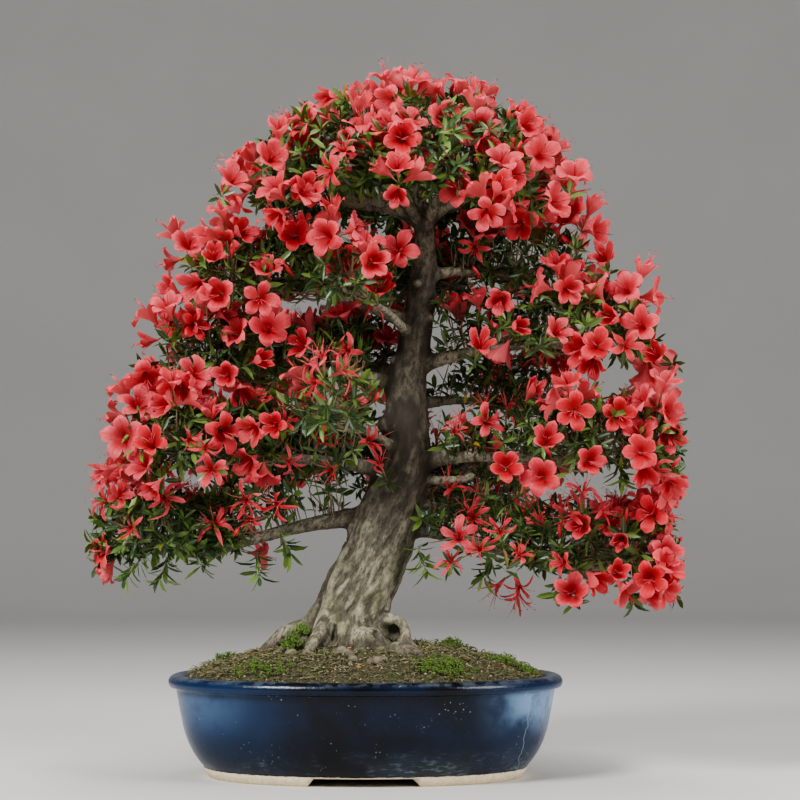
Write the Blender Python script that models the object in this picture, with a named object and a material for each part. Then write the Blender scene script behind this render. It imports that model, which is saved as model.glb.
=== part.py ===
"""A kinsai satsuki azalea grown as a bonsai, in an oval glazed pot, at its real size.

Metres, +Z up. The front of the tree faces -Y, and X runs to the viewer's right. Lengths are
worked out on the pot's own centre, and the last step moves the whole model so that the origin
is at the bottom centre of its bounding box.
"""

import math

import bmesh
import bpy
import numpy as np
from mathutils import Vector
from mathutils.bvhtree import BVHTree

# Clearance between pieces that touch
GAP = 0.0004

# Pot
POT_LENGTH = 0.448
POT_WIDTH = 0.326
POT_HEIGHT = 0.114
POT_SIDES = 28
OVAL_POWER = 2.2
FLOOR_TOP = 0.0200
UNDERSIDE = 0.0095
# Each pair is the inset from the rim's outer line and the height above the ground
POT_OUTSIDE = (
    (0.0640, UNDERSIDE),
    (0.0600, 0.0),
    (0.0465, 0.0),
    (0.0410, 0.0105),
    (0.0260, 0.0320),
    (0.0187, 0.0520),
    (0.0130, 0.0760),
    (0.0095, 0.0990),
    (0.0015, 0.1010),
    (0.0000, 0.1075),
    (0.0050, POT_HEIGHT),
)
POT_INSIDE = (
    (0.0150, POT_HEIGHT - 0.0010),
    (0.0210, 0.1050),
    (0.0250, 0.0650),
    (0.0380, 0.0300),
    (0.0540, FLOOR_TOP),
)
FOOT_CUT_HEIGHT = 0.0085
FOOT_CUT_HALF_BOTTOM = 0.061
FOOT_CUT_HALF_TOP = 0.054
DRAIN_RADIUS = 0.0110
DRAIN_OFFSET = 0.085
MESH_SIZE = 0.036
MESH_THICKNESS = 0.0014
MESH_BAR = 0.0040

# Soil mound
SOIL_EDGE = POT_HEIGHT - 0.0035
MOUND_RISE = 0.034
MOUND_POWER = 3.5
MOUND_RINGS = (0.90, 0.72, 0.45)

# Trunk: x, y, z and radius, from the root ball to the top of the leader
TRUNK = (
    (-0.026, 0.000, 0.112, 0.050),
    (-0.024, 0.000, 0.150, 0.047),
    (-0.016, 0.001, 0.186, 0.0415),
    (-0.004, 0.003, 0.215, 0.0400),
    (0.012, 0.006, 0.252, 0.0385),
    (0.028, 0.008, 0.300, 0.0365),
    (0.041, 0.006, 0.336, 0.0340),
    (0.047, 0.002, 0.372, 0.0290),
    (0.047, -0.002, 0.408, 0.0245),
    (0.047, -0.003, 0.445, 0.0230),
    (0.054, 0.000, 0.484, 0.0200),
    (0.060, 0.004, 0.522, 0.0170),
    (0.065, 0.006, 0.562, 0.0150),
    (0.067, 0.004, 0.602, 0.0135),
    (0.066, 0.000, 0.632, 0.0110),
    (0.056, -0.003, 0.675, 0.0060),
)
TRUNK_SIDES = 12
FLUTE_DEPTH = 0.10
FLUTE_FADE = 0.090

# Surface roots: heading in degrees, how far out the root reaches, its radius at the trunk, its crest
ROOTS = (
    (182, 0.092, 0.0150, 0.176),
    (212, 0.078, 0.0120, 0.164),
    (242, 0.064, 0.0130, 0.166),
    (276, 0.062, 0.0130, 0.164),
    (314, 0.072, 0.0120, 0.166),
    (4, 0.100, 0.0125, 0.172),
    (52, 0.074, 0.0125, 0.166),
    (102, 0.066, 0.0130, 0.164),
    (146, 0.078, 0.0125, 0.168),
)
ROOT_SIDES = 5
ROOT_TIP = 0.45

BRANCH_SIDES = 5
TWIG_SIDES = 3
BRANCH_TIP_RADIUS = 0.0022
TWIG_RADIUS = 0.0026
BRANCH_CLEARANCE = 0.004
TWIG_DEPTH = 0.011
SMALL_PAD = 0.056

# Cut stub on the right of the trunk
STUB = ((0.052, -0.006, 0.334), (0.085, -0.012, 0.338), (0.112, -0.014, 0.341), (0.118, -0.014, 0.347))
STUB_RADIUS = 0.0046

# Foliage pads: centre, then half the length along the branch, half the width and the height above
# the middle of the dense core, how much the outer end drops per metre, where the branch leaves the
# trunk and its radius there
PADS = {
    "left_1": ((-0.126, -0.026, 0.562), (0.054, 0.040, 0.016), 0.20, 0.512, 0.0055),
    "left_2": ((-0.152, -0.004, 0.471), (0.054, 0.038, 0.014), 0.15, 0.441, 0.0060),
    "left_3": ((-0.182, -0.044, 0.370), (0.064, 0.040, 0.015), 0.10, 0.342, 0.0070),
    "left_4": ((-0.216, -0.006, 0.270), (0.058, 0.037, 0.014), 0.05, 0.296, 0.0085),
    "front_left": ((-0.018, -0.096, 0.552), (0.022, 0.020, 0.012), 0.10, 0.495, 0.0040),
    "front_mid": ((-0.036, -0.098, 0.404), (0.022, 0.020, 0.012), 0.10, 0.362, 0.0040),
    "right_1": ((0.194, 0.020, 0.584), (0.046, 0.034, 0.012), 0.05, 0.571, 0.0050),
    "right_2": ((0.246, -0.030, 0.500), (0.060, 0.038, 0.015), 0.10, 0.463, 0.0060),
    "right_3": ((0.196, 0.108, 0.440), (0.042, 0.034, 0.013), 0.00, 0.420, 0.0050),
    "right_4": ((0.266, -0.056, 0.369), (0.070, 0.038, 0.015), 0.05, 0.355, 0.0070),
    "right_5": ((0.262, -0.012, 0.252), (0.078, 0.040, 0.016), 0.05, 0.286, 0.0080),
    "back_1": ((0.060, 0.142, 0.574), (0.046, 0.044, 0.015), 0.10, 0.548, 0.0050),
    "back_2": ((-0.070, 0.154, 0.482), (0.048, 0.042, 0.015), 0.10, 0.456, 0.0055),
    "back_3": ((-0.088, 0.150, 0.364), (0.052, 0.044, 0.015), 0.10, 0.345, 0.0065),
    "back_4": ((0.122, 0.160, 0.316), (0.052, 0.044, 0.015), 0.10, 0.308, 0.0065),
}
CROWN = ((0.044, -0.006, 0.672), (0.136, 0.112, 0.054), 0.0, 0.632, 0.0)
CROWN_BRANCHES = (198, 248, 300, 350, 40, 95, 150)
CROWN_BRANCH_RADIUS = 0.0048
CROWN_LOBES = 5
LOBE_DEPTH = 0.07
UNDERSIDE_SHARE = 0.50
CROWN_UNDERSIDE_SHARE = 0.12
TUFT_OUT = 0.010
TUFT_IN = 0.003
TUFT_SPREAD = 0.004
PAD_AROUND = 9
CROWN_AROUND = 15

# Trusses of blooms: for each pad, the azimuth and elevation of every truss on it, and its kind.
# Azimuth 0 is to the right, 90 to the back, 180 to the left and 270 to the front.
TRUSSES = {
    "crown": (
        (190, 8, "full"),
        (212, 30, "full"),
        (228, 8, "full"),
        (252, 34, "full"),
        (268, 8, "full"),
        (300, 10, "full"),
        (306, 40, "full"),
        (330, 22, "full"),
        (0, 12, "full"),
        (250, 68, "full"),
        (20, 62, "full"),
        (45, 20, "full"),
        (85, 16, "full"),
        (128, 22, "full"),
        (150, 52, "full"),
    ),
    "left_1": ((186, 16, "full"), (240, 34, "full")),
    "left_2": ((188, 14, "full"), (244, 30, "full")),
    "left_3": ((190, 20, "full"), (250, 30, "full")),
    "left_4": ((206, 18, "strap"), (262, 30, "strap")),
    "front_left": ((250, 40, "full"),),
    "front_mid": ((262, 24, "strap"),),
    "right_1": ((262, 24, "full"), (344, 22, "full")),
    "right_2": ((244, 24, "full"), (326, 24, "full")),
    "right_3": ((300, 20, "full"),),
    "right_4": ((238, 22, "full"), (316, 22, "full")),
    "right_5": ((256, 24, "strap"), (322, 24, "full")),
    "back_1": ((100, 30, "full"),),
    "back_2": ((135, 24, "full"),),
    "back_3": ((128, 24, "strap"),),
    "back_4": ((62, 24, "full"),),
}
TRUSS_PAST_SHOOT = 0.008
TRUSS_RING = 3
TRUSS_TILT = math.radians(68)
STALK_RADIUS = 0.0030
STALK_DEPTH = 0.012
HUB_TOP = (0.0034, 0.0030)
HUB_MIDDLE = (0.0072, -0.0035)
UPWARD = 0.30

# A bloom: how far its face is out, its radius, half the angle of each lobe, the notches'
# share of the radius, then heights from the face's plane, and the tube's length before it flares
FULL = {
    "reach": 0.0280,
    "centre_reach": 0.0375,
    "radius": 0.0205,
    "half_angle": math.radians(22),
    "notch": 0.52,
    "notch_height": -0.0040,
    "throat": -0.0140,
    "tube": 0.0,
}
STRAP = {
    "reach": 0.0250,
    "centre_reach": 0.0330,
    "radius": 0.0230,
    "half_angle": math.radians(6.5),
    "notch": 0.20,
    "notch_height": 0.0010,
    "throat": 0.0030,
    "tube": 0.0180,
}
TUBE_RADIUS = 0.0028
LOBES = 5

# Leaf whorl: six narrow leaves at a shoot's tip
LEAVES = 6
LEAF_LENGTH = 0.034
LEAF_NOTCH = 0.30
LEAF_RISE = 0.010
PAD_SHOOT = 0.033
CROWN_SHOOT = 0.048
SHOOT_DEPTH = 0.0070
SHOOT_RADIUS = 0.0017
PAD_WHORLS = 6
CROWN_WHORLS = 24
# Steps whose multiples, less their whole parts, spread evenly over a square
EVEN_STEPS = (0.7548777, 0.5698403)

COLOURS = {
    "glaze": ((0.020, 0.055, 0.140), 0.15),
    "mesh": ((0.030, 0.030, 0.030), 0.60),
    "soil": ((0.110, 0.085, 0.040), 0.95),
    "bark": ((0.260, 0.225, 0.165), 0.80),
    "leaf": ((0.045, 0.085, 0.022), 0.45),
    "petal": ((0.650, 0.045, 0.055), 0.55),
}


def clear_scene():
    for obj in list(bpy.data.objects):
        bpy.data.objects.remove(obj)


def make_material(name):
    colour, roughness = COLOURS[name]
    material = bpy.data.materials.new(name)
    material.use_nodes = True
    shader = material.node_tree.nodes["Principled BSDF"]
    shader.inputs["Base Color"].default_value = (*colour, 1.0)
    shader.inputs["Roughness"].default_value = roughness
    shader.inputs["Metallic"].default_value = 0.0
    return material


def make_object(name, points, faces):
    mesh = bpy.data.meshes.new(name)
    mesh.from_pydata([tuple(point) for point in points], [], faces)
    mesh.update()
    obj = bpy.data.objects.new(name, mesh)
    bpy.context.scene.collection.objects.link(obj)
    return obj


def combine(base, others, operation):
    """Joins the others to the base, or cuts them from it, in one Boolean, and removes them."""
    holder = bpy.data.collections.new("operands")
    bpy.context.scene.collection.children.link(holder)
    for obj in others:
        holder.objects.link(obj)
        bpy.context.scene.collection.objects.unlink(obj)
    modifier = base.modifiers.new("combine", "BOOLEAN")
    modifier.operation = operation
    modifier.solver = "MANIFOLD"
    modifier.operand_type = "COLLECTION"
    modifier.collection = holder
    graph = bpy.context.evaluated_depsgraph_get()
    made = bpy.data.meshes.new_from_object(base.evaluated_get(graph))
    base.modifiers.clear()
    base.data = made
    for obj in others:
        bpy.data.objects.remove(obj)
    bpy.data.collections.remove(holder)
    return base


def drop_scraps(obj):
    """Keeps the largest body of an object, where a cut has left small loose pieces beside it."""
    shape = bmesh.new()
    shape.from_mesh(obj.data)
    left = set(shape.verts)
    bodies = []
    while left:
        edge_of_body = [left.pop()]
        body = set(edge_of_body)
        while edge_of_body:
            vertex = edge_of_body.pop()
            for other in (edge.other_vert(vertex) for edge in vertex.link_edges):
                if other not in body:
                    body.add(other)
                    edge_of_body.append(other)
        left -= body
        bodies.append(body)
    bodies.sort(key=len)
    scraps = [vertex for body in bodies[:-1] for vertex in body]
    bmesh.ops.delete(shape, geom=scraps, context="VERTS")
    shape.to_mesh(obj.data)
    shape.free()


def tree_of(obj):
    mesh = obj.data
    return BVHTree.FromPolygons(
        [vertex.co for vertex in mesh.vertices],
        [tuple(polygon.vertices) for polygon in mesh.polygons],
    )


def meets(points, faces, trees):
    """True if this shape crosses one of the trees' surfaces, or starts inside one."""
    shape = BVHTree.FromPolygons([tuple(point) for point in points], faces)
    for tree in trees:
        if shape.overlap(tree):
            return True
        hit, normal, _, _ = tree.ray_cast(Vector(points[0]), Vector((0.11, 0.07, 1.0)))
        if hit and normal.z > 0:
            return True
    return False


def loft(rings):
    """Triangles between rings of equal length, wound so that they face out on a rising stack."""
    count = len(rings[0])
    faces = []
    for level in range(len(rings) - 1):
        low, high = level * count, (level + 1) * count
        for i in range(count):
            j = (i + 1) % count
            faces += [(low + i, low + j, high + j), (low + i, high + j, high + i)]
    return faces


def closed_stack(rings, first, last):
    """A closed solid from a stack of rings, with its ends drawn to the points first and last."""
    count = len(rings[0])
    points = [point for ring in rings for point in ring] + [first, last]
    bottom, top = len(points) - 2, len(points) - 1
    high = (len(rings) - 1) * count
    faces = loft(rings)
    faces += [(bottom, (i + 1) % count, i) for i in range(count)]
    faces += [(top, high + i, high + (i + 1) % count) for i in range(count)]
    return points, faces


def oval(inset, height):
    """One ring of the pot's oval, a superellipse drawn in from the rim by the inset."""
    ring = []
    for step in range(POT_SIDES):
        angle = 2 * math.pi * (step + 0.5) / POT_SIDES
        cosine, sine = math.cos(angle), math.sin(angle)
        x = (POT_LENGTH / 2 - inset) * math.copysign(abs(cosine) ** (2 / OVAL_POWER), cosine)
        y = (POT_WIDTH / 2 - inset) * math.copysign(abs(sine) ** (2 / OVAL_POWER), sine)
        ring.append((x, y, height))
    return ring


def make_pot():
    rings = [oval(inset, height) for inset, height in POT_OUTSIDE + POT_INSIDE]
    pot = make_object("pot", *closed_stack(rings, (0, 0, UNDERSIDE), (0, 0, FLOOR_TOP)))
    cutters = [make_foot_cutter()]
    cutters += [make_drain_cutter(side * DRAIN_OFFSET) for side in (-1, 1)]
    return combine(pot, cutters, "DIFFERENCE")


def make_foot_cutter():
    """A bar along Y whose sides lean in, which opens the foot ring at the front and the back."""
    reach = POT_WIDTH
    below = -0.004
    slope = (FOOT_CUT_HALF_BOTTOM - FOOT_CUT_HALF_TOP) / FOOT_CUT_HEIGHT
    wide = FOOT_CUT_HALF_BOTTOM - slope * below
    outline = (
        (-wide, below),
        (wide, below),
        (FOOT_CUT_HALF_TOP, FOOT_CUT_HEIGHT),
        (-FOOT_CUT_HALF_TOP, FOOT_CUT_HEIGHT),
    )
    points = [(x, y, z) for y in (-reach, reach) for x, z in outline]
    faces = [(0, 1, 2, 3), (7, 6, 5, 4)]
    faces += [(i, i + 4, (i + 1) % 4 + 4, (i + 1) % 4) for i in range(4)]
    return make_object("foot_cutter", points, faces)


def make_drain_cutter(x):
    sides = 10
    rings = [
        [
            (
                x + DRAIN_RADIUS * math.cos(2 * math.pi * i / sides),
                DRAIN_RADIUS * math.sin(2 * math.pi * i / sides),
                z,
            )
            for i in range(sides)
        ]
        for z in (UNDERSIDE - 0.004, FLOOR_TOP + 0.004)
    ]
    return make_object("drain_cutter", *closed_stack(rings, (x, 0, rings[0][0][2]), (x, 0, rings[1][0][2])))


def make_block(name, low, high):
    points = [(x, y, z) for z in (low[2], high[2]) for y in (low[1], high[1]) for x in (low[0], high[0])]
    faces = [(0, 2, 3, 1), (4, 5, 7, 6), (0, 1, 5, 4), (2, 6, 7, 3), (0, 4, 6, 2), (1, 3, 7, 5)]
    return make_object(name, points, faces)


def make_drainage_mesh(name, x):
    """A square of plastic mesh over a drain hole, with a cross of bars left between four openings."""
    half = MESH_SIZE / 2
    low, high = FLOOR_TOP + GAP, FLOOR_TOP + GAP + MESH_THICKNESS
    sheet = make_block(name, (x - half, -half, low), (x + half, half, high))
    inner, outer = MESH_BAR / 2, half - MESH_BAR
    holes = [
        make_block(
            "mesh_opening",
            (x + min(a * inner, a * outer), min(b * inner, b * outer), low - 0.002),
            (x + max(a * inner, a * outer), max(b * inner, b * outer), high + 0.002),
        )
        for a in (-1, 1)
        for b in (-1, 1)
    ]
    return combine(sheet, holes, "DIFFERENCE")


def mound_height(share):
    return SOIL_EDGE + MOUND_RISE * (1 - share**MOUND_POWER)


def make_soil(wood_cutter):
    """The soil fills the pot's inside and rises in a mound, with holes for the roots and the meshes."""
    walls = [oval(inset + GAP, height + (GAP if height == FLOOR_TOP else 0)) for inset, height in POT_INSIDE[:0:-1]]
    top_inset = POT_INSIDE[1][0] + GAP
    edge = oval(top_inset - 0.0030, SOIL_EDGE)
    mound = [
        [(x * share, y * share, mound_height(share)) for x, y, _ in edge]
        for share in MOUND_RINGS
    ]
    points, faces = closed_stack(
        [*walls, edge, *mound], (0, 0, FLOOR_TOP + GAP), (0, 0, mound_height(0))
    )
    soil = make_object("soil", points, faces)
    half = MESH_SIZE / 2 + GAP
    top = FLOOR_TOP + MESH_THICKNESS + 2 * GAP
    recesses = [
        make_block("recess", (side * DRAIN_OFFSET - half, -half, 0.0), (side * DRAIN_OFFSET + half, half, top))
        for side in (-1, 1)
    ]
    return combine(soil, [*recesses, wood_cutter], "DIFFERENCE")


def smooth_route(points, count):
    """Points evenly spread on a Catmull-Rom curve through the given ones. Each holds any number of values."""
    given = np.array(points, float)
    padded = np.vstack([2 * given[0] - given[1], given, 2 * given[-1] - given[-2]])
    places = np.linspace(0, len(given) - 1 - 1e-9, count)
    span = places.astype(int)
    t = (places - span)[:, None]
    a, b, c, d = (padded[span + k] for k in range(4))
    return 0.5 * (2 * b + (c - a) * t + (2 * a - 5 * b + 4 * c - d) * t**2 + (3 * b - a - 3 * c + d) * t**3)


def sweep(route, radii, sides, flute=None):
    """Rings of a tube along the route, turned as little as they can be from one to the next."""
    route = [Vector(point) for point in route]
    across = Vector((0.0, -1.0, 0.0))
    rings = []
    for i, point in enumerate(route):
        ahead = (route[min(i + 1, len(route) - 1)] - route[max(i - 1, 0)]).normalized()
        if abs(across.dot(ahead)) > 0.95:
            across = ahead.orthogonal()
        across = (across - ahead * across.dot(ahead)).normalized()
        aside = ahead.cross(across)
        ring = []
        for step in range(sides):
            angle = 2 * math.pi * step / sides
            radius = radii[i] * (1 if flute is None else flute(angle, point.z))
            ring.append(point + across * (radius * math.cos(angle)) + aside * (radius * math.sin(angle)))
        rings.append(ring)
    return rings


def tube(name, route, radii, sides, grow=0.0, flute=None):
    """A closed tube with slightly domed ends. Grow makes it thicker and longer, for a hole around it."""
    route = [Vector(point) for point in route]
    first = (route[0] - route[1]).normalized()
    last = (route[-1] - route[-2]).normalized()
    route[0] = route[0] + first * grow
    route[-1] = route[-1] + last * grow
    radii = [radius + grow for radius in radii]
    rings = sweep(route, radii, sides, flute)
    ends = (route[0] + first * radii[0] * 0.3, route[-1] + last * radii[-1] * 0.3)
    return make_object(name, *closed_stack(rings, *ends))


def trunk_at(height):
    """The trunk's axis at a height, read between the points of its route."""
    heights = [row[2] for row in TRUNK]
    return Vector([float(np.interp(height, heights, [row[k] for row in TRUNK])) for k in range(3)])


def trunk_flute(angle, height):
    """The trunk's ridges, deep at the roots and nearly gone higher up."""
    fade = math.exp(-max(0.0, height - TRUNK[1][2]) / FLUTE_FADE)
    return 1 + FLUTE_DEPTH * (0.35 + fade) * math.cos(4 * angle + 9 * height) * 0.7


def root_tubes(grow):
    """Surface roots that leave the trunk's flank, arch over and go down into the soil."""
    tubes = []
    for number, (heading, reach, radius, crest) in enumerate(ROOTS):
        angle = math.radians(heading)
        way = Vector((math.cos(angle), math.sin(angle), 0.0))
        base = Vector(TRUNK[1][:3])
        start = base + way * 0.020
        start.z = crest + 0.016
        flank = base + way * 0.042
        flank.z = crest - 0.006
        out = base + way * (0.042 + (reach - 0.042) * 0.5)
        out.z = 0.148
        end = base + way * reach
        end.z = 0.132
        route = smooth_route([start, flank, out, end], 5)
        radii = np.linspace(radius, radius * ROOT_TIP, 5)
        tubes.append(tube(f"root_{number}", route, radii, ROOT_SIDES, grow))
    return tubes


class Pad:
    """A cloud of foliage: an ellipsoid with a flat underside, long along its branch."""

    def __init__(self, name, row, around, rings):
        (self.centre, half, self.drop, self.leaves_trunk, self.branch_radius) = row
        self.name = name
        self.half_length, self.half_width, self.height = half
        self.centre = Vector(self.centre)
        start = trunk_at(self.leaves_trunk)
        flat = Vector((self.centre.x - start.x, self.centre.y - start.y, 0.0))
        self.heading = Vector((1.0, 0.0, 0.0)) if name == "crown" else flat.normalized()
        self.aside = Vector((-self.heading.y, self.heading.x, 0.0))
        self.around = around
        self.rings = rings
        self.underside = CROWN_UNDERSIDE_SHARE if name == "crown" else UNDERSIDE_SHARE
        self.lobes = CROWN_LOBES if name == "crown" else 3
        self.shoot = CROWN_SHOOT if name == "crown" else PAD_SHOOT
        self.lift = self.shoot + TRUSS_PAST_SHOOT

    def place(self, azimuth, elevation):
        """The surface point in a direction, and the outward normal there. Azimuth is in the world."""
        angle = azimuth - math.atan2(self.heading.y, self.heading.x)
        u, v = math.cos(elevation) * math.cos(angle), math.cos(elevation) * math.sin(angle)
        w = math.sin(elevation)
        swell = 1 + LOBE_DEPTH * math.sin(self.lobes * angle) * math.cos(elevation) ** 2
        up = self.height * w * (self.underside if w < 0 else 1.0)
        along = self.half_length * u * swell
        side = self.half_width * v * swell
        point = self.centre + self.heading * along + self.aside * side
        point.z += up - self.drop * along
        normal = (
            self.heading * (u / self.half_length)
            + self.aside * (v / self.half_width)
            + Vector((0.0, 0.0, w / self.height))
        )
        return point, normal.normalized()

    def underside_at(self, along, side=0.0):
        """The height of the underside at a place along the branch and beside it, in shares of the half sizes."""
        depth = math.sqrt(max(0.0, 1 - along**2 - side**2))
        return self.centre.z - self.drop * along * self.half_length - self.height * self.underside * depth

    def at(self, along, side, height):
        point = self.centre + self.heading * (along * self.half_length) + self.aside * (side * self.half_width)
        point.z = height
        return point

    def make_core(self):
        """The dense inside of the cloud, drawn out into a pointed tuft at one corner in three."""
        draw = np.random.default_rng(len(self.name) + round(1000 * self.centre.z))
        rings = []
        turn = math.atan2(self.heading.y, self.heading.x)
        for level in range(self.rings):
            elevation = math.radians(-90 + 180 * (level + 1) / (self.rings + 1))
            shift = 0.5 * (level % 2)
            ring = []
            for step in range(self.around):
                point, normal = self.place(turn + 2 * math.pi * (step + shift) / self.around, elevation)
                tuft = (step - level // 2 - level) % 3 == 0
                reach = TUFT_OUT + draw.uniform(-1, 1) * TUFT_SPREAD if tuft else -TUFT_IN
                ring.append(point + normal * reach)
            rings.append(ring)
        low = self.place(0.0, -math.pi / 2)[0]
        high = self.place(0.0, math.pi / 2)[0]
        return make_object(f"foliage_{self.name}", *closed_stack(rings, low, high))

    def branch_route(self):
        """From the trunk's axis, under the pad, and up into its outer half."""
        start = trunk_at(self.leaves_trunk)
        below = BRANCH_CLEARANCE + self.branch_radius
        inner = self.at(-0.72, 0.0, self.underside_at(-0.72) - below)
        middle = self.at(-0.10, 0.05, self.underside_at(-0.10) - below * 0.8)
        rise = self.at(0.32, -0.05, self.underside_at(0.32) - below * 0.4)
        tip = self.at(0.62, 0.0, self.underside_at(0.62) + TWIG_DEPTH)
        lead = start.lerp(inner, 0.45) + Vector((0.0, 0.0, 0.006))
        return [start, lead, inner, middle, rise, tip]

    def branches(self, grow):
        """The main branch and the side twigs that leave it for the pad's flanks."""
        route = smooth_route(self.branch_route(), 6)
        radii = np.linspace(self.branch_radius, BRANCH_TIP_RADIUS, 6)
        made = [tube(f"branch_{self.name}", route, radii, BRANCH_SIDES, grow)]
        if self.half_length < SMALL_PAD:
            return made
        for number, (step, along, side) in enumerate(((2, -0.20, 0.55),)):
            start = Vector(route[step])
            end = self.at(along, side, self.underside_at(along, side) + TWIG_DEPTH)
            bend = start.lerp(end, 0.55)
            bend.z = min(start.z, self.underside_at(along, side) - 0.003)
            twig = [start, bend, end]
            twig_radii = [TWIG_RADIUS, TWIG_RADIUS * 0.85, TWIG_RADIUS * 0.6]
            made.append(tube(f"twig_{self.name}_{number}", twig, twig_radii, TWIG_SIDES, grow))
        return made


def crown_branches(crown, grow):
    """Branches that fork from the top of the trunk, spread under the crown and rise into it."""
    made = []
    start = trunk_at(crown.leaves_trunk)
    for number, azimuth in enumerate(CROWN_BRANCHES):
        angle = math.radians(azimuth)
        rim, _ = crown.place(angle, 0.0)
        base = crown.centre.z - crown.height * crown.underside
        out = start.lerp(rim, 0.30)
        out.z = base - 0.013
        far = start.lerp(rim, 0.55)
        far.z = base - 0.007
        tip = start.lerp(rim, 0.72)
        tip.z = base + TWIG_DEPTH
        low = Vector(start) - Vector((0.0, 0.0, 0.006 * (number % 3)))
        route = smooth_route([low, out, far, tip], 5)
        radii = np.linspace(CROWN_BRANCH_RADIUS, BRANCH_TIP_RADIUS, 5)
        made.append(tube(f"crown_branch_{number}", route, radii, BRANCH_SIDES, grow))
    return made


def make_wood(name, pads, crown, grow=0.0):
    """The trunk, its surface roots and every branch as one piece of wood."""
    rows = smooth_route(TRUNK, 15)
    trunk = tube(name, rows[:, :3], rows[:, 3], TRUNK_SIDES, grow, trunk_flute)
    parts = root_tubes(grow) + crown_branches(crown, grow)
    for pad in pads:
        parts += pad.branches(grow)
    parts.append(tube("stub", STUB, [STUB_RADIUS] * len(STUB), BRANCH_SIDES + 1, grow))
    return combine(trunk, parts, "UNION")


class Shape:
    """A closed solid that grows ring by ring."""

    def __init__(self):
        self.points = []
        self.faces = []

    def add(self, points):
        first = len(self.points)
        self.points += [Vector(point) for point in points]
        return list(range(first, len(self.points)))

    def bridge(self, back, front, centre, axis):
        """Triangles between two loops that circle the axis, with any number of points in each."""
        right, over = across(axis)

        def turn(point):
            return math.atan2((point - centre).dot(over), (point - centre).dot(right))

        def nearest(edge):
            here = turn((self.points[edge[0]] + self.points[edge[1]]) / 2)
            return min(few, key=lambda i: abs(math.remainder(turn(self.points[i]) - here, 2 * math.pi)))

        few, many = (back, front) if len(back) <= len(front) else (front, back)
        edges = [(many[i], many[(i + 1) % len(many)]) for i in range(len(many))]
        mates = [nearest(edge) for edge in edges]
        made = []
        for i, (first, second) in enumerate(edges):
            made.append((mates[i], second, first))
            following = mates[(i + 1) % len(mates)]
            if following != mates[i]:
                made.append((mates[i], following, second))
        self.faces += made if few is back else [tuple(reversed(face)) for face in made]

    def fan(self, loop, tip):
        self.faces += [(tip, loop[i], loop[(i + 1) % len(loop)]) for i in range(len(loop))]

    def make(self, name):
        return make_object(name, self.points, self.faces)


def across(axis):
    """Two directions square to the axis and to each other, right-handed with it."""
    right = axis.orthogonal().normalized()
    return right, axis.cross(right).normalized()


def circle(centre, axis, rim, right=None):
    """Points round the axis. Each of the rim's rows is a radius, an angle and a height."""
    right, over = across(axis) if right is None else (right, axis.cross(right).normalized())
    return [
        centre + right * (radius * math.cos(angle)) + over * (radius * math.sin(angle)) + axis * height
        for radius, angle, height in rim
    ]


def bloom_rim(kind, spin):
    """Each lobe gives a notch and the two corners of its blunt tip."""
    rim = []
    for lobe in range(LOBES):
        middle = spin + 2 * math.pi * lobe / LOBES
        rim.append((kind["radius"] * kind["notch"], middle - math.pi / LOBES, kind["notch_height"]))
        rim.append((kind["radius"], middle - kind["half_angle"], 0.0))
        rim.append((kind["radius"], middle + kind["half_angle"], 0.0))
    return rim


def grow_bloom(shape, neck, base, axis, reach, spin, kind, obstacles):
    """Adds a bloom on the neck's loop, unless it would meet another piece, when the neck is closed flat."""
    face = base + axis * reach
    rim = circle(face, axis, bloom_rim(kind, spin))
    trial = Shape()
    loop = trial.add(rim)
    trial.fan(loop, trial.add([face + axis * kind["throat"]])[0])
    root = trial.add([shape.points[i] for i in neck])
    trial.bridge(root, loop, base, axis)
    if meets(trial.points, trial.faces, obstacles):
        shape.faces += [(neck[0], neck[i], neck[i + 1]) for i in range(1, len(neck) - 1)]
        return 0
    if kind["tube"]:
        ring = [(TUBE_RADIUS, 2 * math.pi * i / 3, 0.0) for i in range(3)]
        collar = shape.add(circle(base + axis * (reach - kind["tube"] * 0.3), axis, ring))
        shape.bridge(neck, collar, base, axis)
        neck = collar
    loop = shape.add(rim)
    shape.bridge(neck, loop, base, axis)
    shape.fan(loop, shape.add([face + axis * kind["throat"]])[0])
    return 1


def stalk_loop(base, normal, turn, grow, depth):
    angles = [turn + math.pi / 3 + 2 * math.pi * k / 3 for k in range(3)]
    rim = [(STALK_RADIUS + grow, angle, -depth) for angle in angles]
    return circle(base, normal, rim)


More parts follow.
